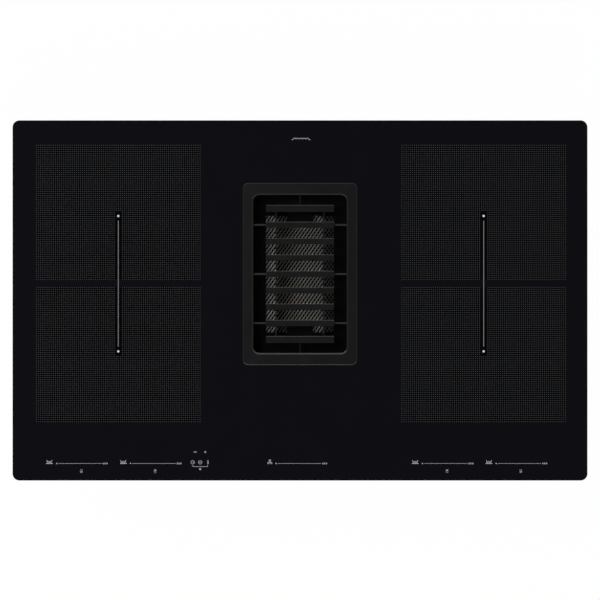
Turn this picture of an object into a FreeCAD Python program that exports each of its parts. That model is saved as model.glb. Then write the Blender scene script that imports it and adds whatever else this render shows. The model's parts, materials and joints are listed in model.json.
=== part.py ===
import FreeCAD, Part
import math
import os
from FreeCAD import Vector

# A built-in induction hob with a downdraft inlet between its cooking zones.
# Millimetres. Height zero is the worktop that the gasket lies on, +Y is the back of the hob.

# Glass panel and the gasket under its edge
glass_width = 830.0
glass_depth = 520.0
glass_thickness = 4.0
glass_corner = 10.0
glass_bevel = 1.2
gasket_thickness = 2.0
gasket_band = 8.0
gasket_inset = 2.0

# Sheet steel casing, bonded under the glass
glass_side_lap = 15.0
glass_end_lap = 17.0
casing_height = 58.5
casing_corner = 6.0
casing_sheet = 1.0
casing_hem = 4.0
bond_thickness = 2.5
vent_slot_width = 4.0
vent_slot_length = 26.0
vent_slot_pitch = 12.0
vent_slot_count = 10
vent_slot_offset = 32.0
vent_slot_setback = 25.0

# Grille over the inlet
vent_setback = 204.8
rim_side_band = 15.0
rim_end_band = 17.3
rim_thickness = 2.2
rim_corner = 8.0
rim_bevel = 0.8
mouth_bevel = 2.0
mouth_width = 135.0
mouth_depth = 228.1
mouth_corner = 9.0
skirt_wall = 2.25
skirt_height = 20.3
pad_radius = 3.0
pad_height = 1.0
pad_pocket_depth = 0.7
pad_inset = 6.0
slat_count = 9
slat_width = 9.0
end_slat_width = 10.0
slat_side_gap = 18.5
slat_end_gap = 14.45
slat_height = 9.5
slat_sink = 1.0
slat_bevel = 0.8
rail_inset = 14.6
rail_width = 2.3
rail_sink = 3.0
arm_width = 2.5
arm_sink = 4.0
end_arm_sink = 7.5
arm_every = 3

# Suction duct under the grille, and the drip tray on its feet
lift_gap = 2.0
duct_wall = 1.5
duct_through = 4.0
duct_flange_reach = 14.0
duct_flange_thickness = 2.5
duct_seal_thickness = 1.5
seal_margin = 1.0
cut_gap = 1.25
ledge_drop = 40.0
ledge_thickness = 2.5
ledge_reach = 12.25
post_leg = 12.0
foot_reach = 22.0
foot_thickness = 2.5
tray_gap = 2.0
tray_height = 16.0
tray_wall = 1.5
tray_corner = 10.0
tray_air_gap = 27.0

# Grease filter
filter_gap = 2.25
filter_height = 14.0
filter_sheet = 1.2
filter_corner = 8.0
filter_side_band = 20.0
filter_end_band = 31.6
mesh_thickness = 0.8
mesh_border = 4.0
mesh_pitch_x = 9.6
mesh_pitch_y = 10.6
mesh_strand = 2.0
mesh_slant = 1.6
handle_width = 37.5
handle_over_mesh = 10.0
handle_thickness = 2.0
handle_lip_height = 7.0

# Plenum under the casing
plenum_height = 61.5
plenum_sheet = 1.2
plenum_flange = 12.0
plenum_seal_thickness = 1.5
plenum_right_margin = 12.75
plenum_front_margin = 15.0
plenum_rear_margin = 4.0
plenum_eye_margin = 12.0

# Blower: spiral housing, wheel and motor on one upright axis
blower_setback = 18.2
eye_radius = 75.0
bellmouth_wall = 2.5
bellmouth_depth = 7.0
scroll_inner_height = 74.0
scroll_wall = 2.0
scroll_growth = 17.0
scroll_start_gap = 15.0
tongue_angle = 62.0
outlet_setback = 77.0
outlet_ear_width = 18.0
outlet_ear_thickness = 2.0
outlet_ear_hole_inset = 5.0
outlet_ear_hole_height = 15.0
scroll_boss_radius = 5.0
scroll_boss_height = 20.0
scroll_boss_angles = (104.0, 170.0, 225.0, 282.0, 350.0)
eye_boss_radius = 5.0
eye_boss_height = 3.5
eye_boss_offset = 11.0
wheel_radius = 100.0
wheel_height = 58.0
wheel_top_gap = 6.0
wheel_ring_width = 20.0
wheel_ring_thickness = 3.0
wheel_plate_thickness = 2.0
blade_count = 36
blade_chord = 18.0
blade_thickness = 1.2
blade_angle = 35.0
blade_root_gap = 2.5
hub_wall = 2.0
hub_gap = 6.0
hub_boss_radius = 9.0
hub_boss_height = 8.0
motor_radius = 48.0
motor_height = 37.0
motor_wall = 3.0
motor_top_gap = 8.0
shaft_radius = 4.0
shaft_stub = 2.0
shaft_clearance = 0.05
bearing_radius = 11.0
bearing_height = 7.0
bearing_boss_wall = 3.0
stator_seat_gap = 0.3
stator_inner_radius = 24.0
stator_height = 20.0
stator_slot_count = 12
stator_slot_width = 5.0
stator_rim = 7.0
rotor_air_gap = 1.0
rotor_end_gap = 1.0
motor_cover_radius = 68.0
motor_cover_thickness = 3.0
motor_hole_gap = 8.0
bush_radius = 6.0
bush_height = 3.0
bush_count = 3
cover_screw_count = 6

# Rear outlet, a standard flat duct spigot with two non-return flaps
spigot_width = 222.0
spigot_height = 89.0
spigot_wall = 3.0
spigot_flare_length = 34.0
spigot_straight_length = 55.0
flap_setback = 9.0
flap_thickness = 1.5
flap_barrel_radius = 3.0
flap_pin_radius = 1.5
flap_side_gap = 0.6
flap_edge_gap = 0.5
flap_stop_width = 4.0
flap_stop_thickness = 2.0
flap_stop_gap = 0.3

# Induction coils
coil_side_gap = 24.0
coil_vent_gap = 77.5
coil_rear_gap = 24.5
coil_front_gap = 74.3
coil_pair_gap = 23.2
coil_corner = 60.0
coil_height = 6.0
coil_band_shares = ((0.0, 0.52), (0.58, 0.88))
coil_core_corner = 6.0
mica_thickness = 0.5
mica_margin = 3.0
former_height = 6.0
former_margin = 2.0
ferrite_length = 58.0
ferrite_width = 12.0
ferrite_height = 4.5
ferrite_start = 25.0
ferrite_count = 8
sensor_radius = 8.0
sensor_gap = 4.0
coil_plate_margin = 6.0
coil_plate_thickness = 1.5
post_radius = 4.0
post_inset = 6.0
post_fan_gap = 9.0

# Power electronics
board_side_gap = 30.0
board_vent_gap = 95.5
board_front_gap = 48.0
board_fan_gap = 30.0
board_thickness = 1.6
standoff_height = 8.0
standoff_radius = 3.0
standoff_inset = 6.0
sink_width = 50.0
sink_depth_share = 0.57
sink_base = 3.4
sink_fin_height = 19.0
sink_fin_thickness = 1.6
sink_fin_count = 9
sink_x_share = 0.225
sink_y_share = 0.1
module_width = 22.0
module_depth_share = 0.6
module_height = 5.0
module_count = 4
capacitor_width = 30.0
capacitor_depth = 18.0
capacitor_height = 24.0
capacitor_count = 4
capacitor_pitch_share = 0.153
capacitor_x_share = -0.1
choke_radius = 15.0
choke_bore = 6.0
choke_height = 14.0
choke_spacing_share = 0.28
choke_x_share = -0.325
filter_board_width = 120.0
filter_board_depth = 52.0
filter_board_setback = 38.0
filter_choke_spacing = 60.0

# Cooling fans for the electronics
fan_size = 80.0
fan_height = 25.0
fan_side_gap = 25.0
fan_rear_gap = 28.0
fan_bore_wall = 2.0
fan_hub_radius = 18.0
fan_hub_plate = 3.0
fan_arm_width = 5.0
fan_pin_radius = 1.5
fan_tip_gap = 1.5
fan_axial_gap = 1.0
fan_blade_count = 7
fan_blade_thickness = 1.4
fan_blade_chord = 17.0
fan_blade_tilt = 40.0
fan_hole_radius = 2.2
fan_hole_inset = 4.5
fan_slot_count = 7
fan_slot_length = 62.0
fan_slot_pitch = 10.0

# Touch controls under the front edge of the glass
touch_pad_inset = 8.0
touch_board_margin = 26.0
touch_board_depth = 32.0
touch_board_setback = 21.0
touch_carrier_thickness = 2.0
touch_leg_size = 10.0
touch_leg_count = 6
touch_pad_radius = 2.5
touch_pad_reach = 6.4
slider_length_share = 0.278
slider_pad_count = 8
slider_spread_share = 0.2373
slider_key_share = 0.196
timer_key_x = -144.1
timer_key_spacing = 11.0
timer_key_row_rise = 16.0
display_width = 26.0
display_depth = 12.0
display_height = 6.0
display_rise = 7.5

# Mains connection under the rear of the casing, right of the plenum
terminal_side_gap = 4.0
terminal_width = 90.0
terminal_depth = 58.0
terminal_height = 29.0
terminal_rear_gap = 5.0
terminal_wall = 2.0
terminal_cover_thickness = 2.0
terminal_cover_lip = 3.0
terminal_lip_gap = 0.3
terminal_hole_radius = 11.0
terminal_hole_offset = -25.0
terminal_block_width = 62.0
terminal_block_depth = 18.0
terminal_block_height = 16.0
terminal_block_y_offset = -14.0
terminal_post_radius = 3.0
terminal_post_count = 5
gland_bore = 5.5
gland_tube_radius = 8.5
gland_flange_radius = 12.0
gland_flange_thickness = 4.0
gland_reach = 12.0
gland_tail = 5.0
gland_seat_gap = 0.3

# Fixing brackets and fasteners
bracket_y = 150.0
bracket_width = 30.0
bracket_sheet = 2.0
bracket_leg = 24.0
bracket_tab = 13.5
bracket_drop = 32.0
bracket_hole_reach = 9.0
bracket_hole_radius = 2.25
bracket_screw_spacing = 16.0
bracket_screw_drop = 12.0
screw_radius = 2.0
screw_head_radius = 3.5
screw_head_height = 2.0
screw_hole_gap = 0.2
screw_grip = 3.0

# Workshop values
overrun = 1.0
height_match = 0.01

# Heights that the pieces share
glass_under = gasket_thickness
glass_top = glass_under + glass_thickness
rim_under = glass_top + pad_height - pad_pocket_depth
rim_top = rim_under + rim_thickness
slat_top = rim_top - slat_sink
slat_bottom = slat_top - slat_height
casing_top = glass_under - bond_thickness
casing_bottom = casing_top - casing_height
casing_floor = casing_bottom + casing_sheet
duct_flange_top = glass_under - duct_seal_thickness
duct_bottom = casing_bottom - duct_through
ledge_top = glass_top - ledge_drop
filter_top = ledge_top + filter_height
tray_top = duct_bottom - tray_air_gap
tray_bottom = tray_top - tray_height
plenum_top = casing_bottom - plenum_seal_thickness
plenum_bottom = plenum_top - plenum_height
scroll_roof = plenum_bottom - scroll_wall
scroll_floor = scroll_roof - scroll_inner_height
scroll_bottom = scroll_floor - scroll_wall
wheel_top = scroll_roof - wheel_top_gap
wheel_bottom = wheel_top - wheel_height
motor_bottom = scroll_bottom + bush_height
motor_top = motor_bottom + motor_height
motor_cavity_bottom = motor_bottom + motor_wall
motor_cavity_top = motor_top - motor_wall
hub_top = motor_top + motor_top_gap + hub_wall
coil_top = glass_under - mica_thickness
coil_bottom = coil_top - coil_height
former_bottom = coil_bottom - former_height
coil_plate_top = former_bottom - ferrite_height
coil_plate_bottom = coil_plate_top - coil_plate_thickness
board_bottom = casing_floor + standoff_height
board_top = board_bottom + board_thickness
sink_bottom = board_top + module_height
touch_board_top = glass_under - touch_pad_reach
touch_board_bottom = touch_board_top - board_thickness
touch_carrier_bottom = touch_board_bottom - touch_carrier_thickness
terminal_bottom = casing_bottom - terminal_height
gland_z = casing_bottom - terminal_height / 2
spigot_bottom = scroll_bottom
spigot_top = spigot_bottom + spigot_height

# Plan sizes that follow from the glass: the casing under it, and what keeps its distance from the back
casing_width = glass_width - 2 * glass_side_lap
casing_depth = glass_depth - 2 * glass_end_lap
vent_y = casing_depth / 2 - vent_setback
blower_y = vent_y - blower_setback
outlet_y = casing_depth / 2 - outlet_setback
filter_board_y = casing_depth / 2 - filter_board_setback
terminal_rear = casing_depth / 2 - terminal_rear_gap
terminal_front = terminal_rear - terminal_depth

# Plan sizes that follow from the grille's mouth, each fit inside the next
rim_width = mouth_width + 2 * rim_side_band
rim_depth = mouth_depth + 2 * rim_end_band
slat_length = mouth_width - 2 * slat_side_gap
slat_pitch = (mouth_depth - 2 * slat_end_gap - end_slat_width) / (slat_count - 1)
rail_spacing = slat_length - 2 * rail_inset
skirt_width = mouth_width + 2 * skirt_wall
skirt_depth = mouth_depth + 2 * skirt_wall
skirt_corner = mouth_corner + skirt_wall
duct_width = skirt_width + 2 * lift_gap
duct_depth = skirt_depth + 2 * lift_gap
duct_corner = skirt_corner + lift_gap
duct_outer_width = duct_width + 2 * duct_wall
duct_outer_depth = duct_depth + 2 * duct_wall
duct_outer_corner = duct_corner + duct_wall
cut_width = duct_outer_width + 2 * cut_gap
cut_depth = duct_outer_depth + 2 * cut_gap
cut_corner = duct_outer_corner + cut_gap
ledge_width = duct_width - 2 * ledge_reach
ledge_depth = duct_depth - 2 * ledge_reach
filter_width = duct_width - 2 * filter_gap
filter_depth = duct_depth - 2 * filter_gap
tray_width = ledge_width - 2 * tray_gap
tray_depth = ledge_depth - 2 * tray_gap

# The spiral grows by one step each quarter turn, round the corners of a square on the blower's axis
scroll_step = scroll_growth / 2
scroll_radius = wheel_radius + scroll_start_gap
tongue_reach = scroll_radius * math.cos(math.radians(tongue_angle)) - scroll_step
outlet_reach = scroll_radius + 2 * scroll_growth + scroll_step
blower_x = -(tongue_reach + outlet_reach) / 2
outlet_half = (outlet_reach - tongue_reach) / 2
spigot_throat = outlet_y + spigot_flare_length
spigot_end = spigot_throat + spigot_straight_length
flap_y = spigot_throat + flap_setback
flap_pitch = (spigot_height - 2 * spigot_wall - flap_edge_gap) / 2
flap_upper_z = spigot_top - spigot_wall - flap_barrel_radius - flap_edge_gap
flap_lower_z = flap_upper_z - flap_pitch

# Edges of the plenum
plenum_left = blower_x - eye_radius - plenum_eye_margin
plenum_right = duct_outer_width / 2 + plenum_right_margin
plenum_front = vent_y - duct_outer_depth / 2 - plenum_front_margin
plenum_rear = vent_y + duct_outer_depth / 2 + plenum_rear_margin
terminal_x = plenum_right + plenum_flange + terminal_side_gap + terminal_width / 2


# Coils, boards and fans fill the bay between the inlet and the casing's side
coil_outer = casing_width / 2 - coil_side_gap
coil_inner = cut_width / 2 + coil_vent_gap
coil_rear = casing_depth / 2 - coil_rear_gap
coil_front = coil_front_gap - casing_depth / 2
coil_width = coil_outer - coil_inner
coil_depth = (coil_rear - coil_front - coil_pair_gap) / 2
zone_x = (coil_outer + coil_inner) / 2
zone_rear_y = coil_rear - coil_depth / 2
zone_front_y = coil_front + coil_depth / 2
vent_slot_x = zone_x + vent_slot_offset
vent_slot_y = vent_slot_setback - casing_depth / 2
fan_x = casing_width / 2 - fan_side_gap - fan_size / 2
fan_y = casing_depth / 2 - fan_rear_gap - fan_size / 2
board_outer = casing_width / 2 - board_side_gap
board_inner = cut_width / 2 + board_vent_gap
board_rear = fan_y - fan_size / 2 - board_fan_gap
board_front = board_front_gap - casing_depth / 2
board_width = board_outer - board_inner
board_depth = board_rear - board_front
board_x = (board_outer + board_inner) / 2
board_y = (board_rear + board_front) / 2
sink_depth = sink_depth_share * board_depth

# Touch controls: two sliders in front of each pair of zones and one in the middle
touch_y = touch_pad_inset - casing_depth / 2
touch_board_y = touch_board_setback - casing_depth / 2
touch_board_width = casing_width - 2 * touch_board_margin
display_y = touch_board_y + display_rise
slider_length = slider_length_share * coil_width
slider_key_offset = slider_key_share * coil_width
slider_outer_x = zone_x + slider_spread_share * coil_width
slider_inner_x = zone_x - slider_spread_share * coil_width


# Basic forms

def block(x0, x1, y0, y1, z0, z1):
    return Part.makeBox(x1 - x0, y1 - y0, z1 - z0, Vector(x0, y0, z0))


def centred_block(x, y, width, depth, z0, z1):
    return block(x - width / 2, x + width / 2, y - depth / 2, y + depth / 2, z0, z1)


def disc(x, y, radius, z0, z1):
    return Part.makeCylinder(radius, z1 - z0, Vector(x, y, z0))


def tube(x, y, outer, inner, z0, z1):
    return disc(x, y, outer, z0, z1).cut(disc(x, y, inner, z0 - overrun, z1 + overrun))


def polar(radius, degrees):
    turn = math.radians(degrees)
    return Vector(radius * math.cos(turn), radius * math.sin(turn), 0)


def arc(centre, radius, start, end):
    """An arc about centre from one angle to another, in degrees."""
    points = (centre + polar(radius, angle) for angle in (start, (start + end) / 2, end))
    return Part.Arc(*points).toShape()


def line(start, end):
    return Part.LineSegment(start, end).toShape()


def rounded_plate(x, y, width, depth, corner, z0, z1):
    """A flat plate with rounded corners, centred on x and y."""
    across = width / 2 - corner
    along = depth / 2 - corner
    centres = [Vector(x + sx * across, y + sy * along, z0) for sx, sy in ((1, 1), (-1, 1), (-1, -1), (1, -1))]
    edges = []
    for quarter, centre in enumerate(centres):
        following = centres[(quarter + 1) % len(centres)]
        leave = 90 * (quarter + 1)
        edges.append(arc(centre, corner, 90 * quarter, leave))
        edges.append(line(centre + polar(corner, leave), following + polar(corner, leave)))
    return Part.Face(Part.Wire(edges)).extrude(Vector(0, 0, z1 - z0))


def framed_plate(x, y, outer, inner, z0, z1):
    """A plate with a rounded hole; outer and inner each hold a width, a depth and a corner radius."""
    return rounded_plate(x, y, *outer, z0, z1).cut(rounded_plate(x, y, *inner, z0 - overrun, z1 + overrun))


def group(solids):
    return Part.makeCompound(list(solids))


def joined(solids):
    first, *rest = solids
    return first.fuse(rest).removeSplitter()


def edges_at(shape, height):
    """The edges of a shape that lie flat at one height."""
    return [edge for edge in shape.Edges
            if all(abs(corner.Z - height) < height_match for corner in edge.Vertexes)]


def screw(tip, head_side, direction):
    """A pan head screw: its shank runs from tip to the seat of its head, and the head lies beyond."""
    length = (head_side - tip).Length
    shank = Part.makeCylinder(screw_radius, length, tip, direction)
    head = Part.makeCylinder(screw_head_radius, screw_head_height, head_side, direction)
    return shank.fuse(head).removeSplitter()


def drill(point, direction, length):
    """The clearance hole of a screw, through length and a little past each end."""
    start = point - direction * overrun
    return Part.makeCylinder(screw_radius + screw_hole_gap, length + 2 * overrun, start, direction)


UP = Vector(0, 0, 1)
DOWN = Vector(0, 0, -1)
BACK = Vector(0, 1, 0)
SIDES = (-1, 1)


# Glass, gasket and bond

def glass_panel():
    sheet = rounded_plate(0, 0, glass_width, glass_depth, glass_corner, glass_under, glass_top)
    sheet = sheet.makeChamfer(glass_bevel, edges_at(sheet, glass_top))
    return sheet.cut(rounded_plate(0, vent_y, cut_width, cut_depth, cut_corner,
                                   glass_under - overrun, glass_top + overrun))


def sealing_gasket():
    outer = (glass_width - 2 * gasket_inset, glass_depth - 2 * gasket_inset, glass_corner)
    inner = (outer[0] - 2 * gasket_band, outer[1] - 2 * gasket_band, glass_corner - gasket_inset)
    return framed_plate(0, 0, outer, inner, 0, gasket_thickness)


def glass_bond():
    outer = (casing_width, casing_depth, casing_corner)
    inner = (casing_width - 2 * casing_hem, casing_depth - 2 * casing_hem, casing_corner - casing_sheet)
    return framed_plate(0, 0, outer, inner, casing_top, glass_under)


# Casing

def plenum_screw_places():
    """Where the screws go through the plenum's flange: its corners and the middle of each side."""
    left = plenum_left - plenum_flange / 2
    right = plenum_right + plenum_flange / 2
    front = plenum_front - plenum_flange / 2
    rear = plenum_rear + plenum_flange / 2
    middle_x = (left + right) / 2
    middle_y = (front + rear) / 2
    return [(x, y) for x in (left, middle_x, right) for y in (front, middle_y, rear)
            if (x, y) != (middle_x, middle_y)]


def terminal_screw_places():
    reach = terminal_width / 2 - terminal_wall - screw_head_radius
    return [(terminal_x + side * reach, terminal_front + terminal_wall + screw_head_radius) for side in SIDES]


def bracket_screw_places():
    """The side, the place along the wall and the height of each bracket screw."""
    return [(side, end * bracket_y + half * bracket_screw_spacing / 2, -bracket_drop - bracket_screw_drop)
            for side in SIDES for end in SIDES for half in SIDES]


def slot_row(x, y, count, pitch, length, z0, z1):
    """A row of narrow slots across the air's way, centred on x and y."""
    return [centred_block(x + (number - (count - 1) / 2) * pitch, y, vent_slot_width, length, z0, z1)
            for number in range(count)]


def casing_tray():
    outer = rounded_plate(0, 0, casing_width, casing_depth, casing_corner, casing_bottom, casing_top)
    hollow = rounded_plate(0, 0, casing_width - 2 * casing_sheet, casing_depth - 2 * casing_sheet,
                           casing_corner - casing_sheet, casing_floor, casing_top - casing_sheet)
    opening = rounded_plate(0, 0, casing_width - 2 * casing_hem, casing_depth - 2 * casing_hem,
                            casing_corner - casing_sheet, casing_floor + overrun, casing_top + overrun)
    low = casing_bottom - overrun
    high = casing_floor + overrun
    cuts = [opening, rounded_plate(0, vent_y, cut_width, cut_depth, cut_corner, low, high)]
    for side in SIDES:
        cuts += slot_row(side * fan_x, fan_y, fan_slot_count, fan_slot_pitch, fan_slot_length, low, high)
        cuts += slot_row(side * vent_slot_x, vent_slot_y, vent_slot_count, vent_slot_pitch,
                         vent_slot_length, low, high)
    cuts += [drill(Vector(x, y, casing_bottom), UP, casing_sheet)
             for x, y in plenum_screw_places() + terminal_screw_places()]
    cuts += [drill(Vector(side * casing_width / 2, y, z), Vector(-side, 0, 0), casing_sheet)
             for side, y, z in bracket_screw_places()]
    cuts.append(disc(terminal_x + terminal_hole_offset, terminal_front + terminal_depth / 2,
                     terminal_hole_radius, low, high))
    return outer.cut(hollow).cut(cuts)


# Grille

def pad_places():
    across = rim_width / 2 - pad_inset
    along = rim_depth / 2 - pad_inset
    return [(side * across, vent_y + end * along) for side in SIDES for end in (-1, 0, 1)]


def grille_frame():
    rim = rounded_plate(0, vent_y, rim_width, rim_depth, rim_corner, rim_under, rim_top)
    rim = rim.makeChamfer(rim_bevel, edges_at(rim, rim_top))
    skirt = rounded_plate(0, vent_y, skirt_width, skirt_depth, skirt_corner,
                          rim_under - skirt_height, rim_under)
    mouth = rounded_plate(0, vent_y, mouth_width, mouth_depth, mouth_corner,
                          rim_under - skirt_height - overrun, rim_top + overrun)
    lead_in = rounded_plate(0, vent_y, mouth_width + 2 * mouth_bevel, mouth_depth + 2 * mouth_bevel,
                            mouth_corner + mouth_bevel, rim_top - mouth_bevel, rim_top + overrun)
    lead_in = lead_in.makeChamfer(mouth_bevel, edges_at(lead_in, rim_top - mouth_bevel))
    pockets = [disc(x, y, pad_radius, rim_under - overrun, rim_under + pad_pocket_depth)
               for x, y in pad_places()]
    return joined([rim, skirt]).cut([mouth, lead_in] + pockets)


def grille_pads():
    return group(disc(x, y, pad_radius - screw_hole_gap, glass_top, glass_top + pad_height)
                 for x, y in pad_places())


def slat_steps():
    """Each slat's step from the middle one, and its width."""
    middle = (slat_count - 1) / 2
    steps = [number - middle for number in range(slat_count)]
    return [(step, end_slat_width if abs(step) == middle else slat_width) for step in steps]


def slat_grid():
    """The slats, bevelled along their rear edges, on two rails."""
    half = slat_length / 2
    pieces = []
    for step, width in slat_steps():
        y = vent_y + step * slat_pitch
        slat = block(-half, half, y - width / 2, y + width / 2, slat_bottom, slat_top)
        rear_edges = [edge for edge in edges_at(slat, slat_top) if edge.CenterOfMass.y > y + width / 4]
        pieces.append(slat.makeChamfer(slat_bevel, rear_edges))
    reach = (slat_count - 1) / 2 * slat_pitch
    pieces += [block(side * rail_spacing / 2 - rail_width / 2, side * rail_spacing / 2 + rail_width / 2,
                     vent_y - reach, vent_y + reach, slat_bottom, slat_top - rail_sink) for side in SIDES]
    return joined(pieces)


def grille_arms():
    """The arms that hold the slats in the frame: one beside every third slat, and one at each end."""
    arms = []
    for side in SIDES:
        x = side * (slat_length + mouth_width) / 4
        length = (mouth_width - slat_length) / 2
        arms += [centred_block(x, vent_y + step * slat_pitch, length, arm_width,
                               slat_bottom, slat_top - arm_sink)
                 for step, _ in slat_steps() if step % arm_every == 0]
        near = (slat_count - 1) / 2 * slat_pitch + end_slat_width / 2
        far = mouth_depth / 2
        arms.append(centred_block(0, vent_y + side * (near + far) / 2, arm_width, far - near,
                                  slat_bottom, slat_top - end_arm_sink))
    return group(arms)


# Suction duct and drip tray

def duct_seal():
    outer = (duct_outer_width + 2 * (duct_flange_reach - seal_margin),
             duct_outer_depth + 2 * (duct_flange_reach - seal_margin), duct_outer_corner + duct_flange_reach)
    inner = (cut_width + 2 * seal_margin, cut_depth + 2 * seal_margin, cut_corner)
    return framed_plate(0, vent_y, outer, inner, duct_flange_top, glass_under)


def duct_post(side, end):
    """One corner post, an angle under the duct's wall, with the foot that a tray corner stands on."""
    x = side * duct_outer_width / 2
    y = vent_y + end * duct_outer_depth / 2
    foot_x = side * (duct_outer_width / 2 - foot_reach)
    foot_y = vent_y + end * (duct_outer_depth / 2 - foot_reach)
    leg_x = side * (duct_outer_width / 2 - post_leg)
    leg_y = vent_y + end * (duct_outer_depth / 2 - post_leg)
    wall_x = x - side * duct_wall
    wall_y = y - end * duct_wall
    low = tray_bottom - foot_thickness
    along = block(*sorted((wall_x, x)), *sorted((leg_y, y)), low, ledge_top - ledge_thickness)
    across = block(*sorted((leg_x, x)), *sorted((wall_y, y)), low, ledge_top - ledge_thickness)
    foot = block(*sorted((foot_x, x)), *sorted((foot_y, y)), low, tray_bottom)
    return [along, across, foot]


def suction_duct():
    flange = rounded_plate(0, vent_y, duct_outer_width + 2 * duct_flange_reach,
                           duct_outer_depth + 2 * duct_flange_reach, duct_outer_corner + duct_flange_reach,
                           duct_flange_top - duct_flange_thickness, duct_flange_top)
    shell = rounded_plate(0, vent_y, duct_outer_width, duct_outer_depth, duct_outer_corner,
                          duct_bottom, duct_flange_top)
    above = rounded_plate(0, vent_y, duct_width, duct_depth, duct_corner,
                          ledge_top, duct_flange_top + overrun)
    through = rounded_plate(0, vent_y, ledge_width, ledge_depth, duct_corner,
                            duct_bottom - overrun, ledge_top + overrun)
    below = rounded_plate(0, vent_y, duct_width, duct_depth, duct_corner,
                          duct_bottom - overrun, ledge_top - ledge_thickness)
    envelope = rounded_plate(0, vent_y, duct_outer_width, duct_outer_depth, duct_outer_corner,
                             tray_bottom - foot_thickness, ledge_top)
    posts = joined([piece for side in SIDES for end in SIDES for piece in duct_post(side, end)])
    return joined([flange, shell]).cut([above, through, below]).fuse(posts.common(envelope)).removeSplitter()


def spill_tray():
    outer = rounded_plate(0, vent_y, tray_width, tray_depth, tray_corner, tray_bottom, tray_top)
    hollow = rounded_plate(0, vent_y, tray_width - 2 * tray_wall, tray_depth - 2 * tray_wall,
                           tray_corner - tray_wall, tray_bottom + tray_wall, tray_top + overrun)
    return outer.cut(hollow)


# Grease filter

def filter_window(z0, z1):
    return centred_block(0, vent_y, filter_width - 2 * filter_side_band, filter_depth - 2 * filter_end_band,
                         z0, z1)


def filter_frame():
    outer = rounded_plate(0, vent_y, filter_width, filter_depth, filter_corner, ledge_top, filter_top)
    cavity = rounded_plate(0, vent_y, filter_width - 2 * filter_sheet, filter_depth - 2 * filter_sheet,
                           filter_corner - filter_sheet, ledge_top + filter_sheet, filter_top - filter_sheet)
    return outer.cut([cavity, filter_window(ledge_top - overrun, filter_top + overrun)])


def filter_mesh():
    """A stretched metal sheet: leaning diamond holes, each row moved on by half a pitch and the slant."""
    bottom = filter_top - filter_sheet - mesh_thickness
    width = filter_width - 2 * filter_side_band
    depth = filter_depth - 2 * filter_end_band
    half_x = (mesh_pitch_x - mesh_strand) / 2
    half_y = (mesh_pitch_y - mesh_strand) / 2
    tip = mesh_slant * (mesh_pitch_y - mesh_strand) / mesh_pitch_y
    rows = int(depth / (mesh_pitch_y / 2)) - 1
    columns = int(width / mesh_pitch_x) - 1
    holes = []
    for row in range(rows):
        y = vent_y + (row - (rows - 1) / 2) * mesh_pitch_y / 2
        shift = row * (mesh_pitch_x / 2 + mesh_slant) % mesh_pitch_x
        for column in range(columns):
            x = (column - columns / 2) * mesh_pitch_x + shift
            corners = [Vector(x + half_x, y, bottom), Vector(x + tip, y + half_y, bottom),
                       Vector(x - half_x, y, bottom), Vector(x - tip, y - half_y, bottom)]
            holes.append(Part.makePolygon(corners + corners[:1]))
    rim_x = width / 2 + mesh_border
    rim_y = depth / 2 + mesh_border
    edge = [Vector(sx * rim_x, vent_y + sy * rim_y, bottom)
            for sx, sy in ((1, 1), (-1, 1), (-1, -1), (1, -1))]
    sheet = Part.makeFace([Part.makePolygon(edge + edge[:1])] + holes, "Part::FaceMakerBullseye")
    return sheet.extrude(Vector(0, 0, mesh_thickness))


def filter_handles():
    handles = []
    for end in SIDES:
        window_edge = filter_depth / 2 - filter_end_band
        inner = vent_y + end * (window_edge - handle_over_mesh)
        outer = vent_y + end * (filter_depth / 2 - filter_corner)
        lip = inner + end * handle_thickness
        half = handle_width / 2
        flat = block(-half, half, *sorted((inner, outer)), filter_top, filter_top + handle_thickness)
        stand = block(-half, half, *sorted((inner, lip)), filter_top, filter_top + handle_lip_height)
        handles.append(joined([flat, stand]))
    return group(handles)


# Plenum

def plenum_band(reach, z0, z1):
    return block(plenum_left - reach, plenum_right + reach, plenum_front - reach, plenum_rear + reach, z0, z1)


def eye_screw_places():
    ring = eye_radius + eye_boss_offset
    centre = Vector(blower_x, blower_y, 0)
    return [centre + polar(ring, 45 + 90 * quarter) for quarter in range(4)]


def plenum_box():
    walls = plenum_band(0, plenum_bottom, plenum_top)
    flange = plenum_band(plenum_flange, plenum_top - plenum_sheet, plenum_top)
    hollow = plenum_band(-plenum_sheet, plenum_bottom + plenum_sheet, plenum_top + overrun)
    eye = disc(blower_x, blower_y, eye_radius, plenum_bottom - overrun,
               plenum_bottom + plenum_sheet + overrun)
    holes = [drill(Vector(x, y, plenum_top - plenum_sheet), UP, plenum_sheet)
             for x, y in plenum_screw_places()]
    holes += [drill(place + UP * plenum_bottom, UP, plenum_sheet) for place in eye_screw_places()]
    return joined([walls, flange]).cut([hollow, eye] + holes)


def plenum_seal():
    ring = plenum_band(plenum_flange, plenum_top, casing_bottom)
    opening = plenum_band(-plenum_sheet, plenum_top - overrun, casing_bottom + overrun)
    holes = [drill(Vector(x, y, plenum_top), UP, plenum_seal_thickness) for x, y in plenum_screw_places()]
    return ring.cut([opening] + holes)


# Blower housing

def spiral_centre(quarter):
    """The centre of one quarter of the spiral, counted from the quarter behind and left of the axis."""
    offsets = ((-1, -1), (1, -1), (1, 1))
    across, along = offsets[quarter]
    return Vector(blower_x + across * scroll_step, blower_y + along * scroll_step, 0)


def spiral_point(degrees, outward):
    quarter = min(int((degrees - 90) // 90), 2)
    return spiral_centre(quarter) + polar(scroll_radius + quarter * scroll_growth + outward, degrees)


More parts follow.
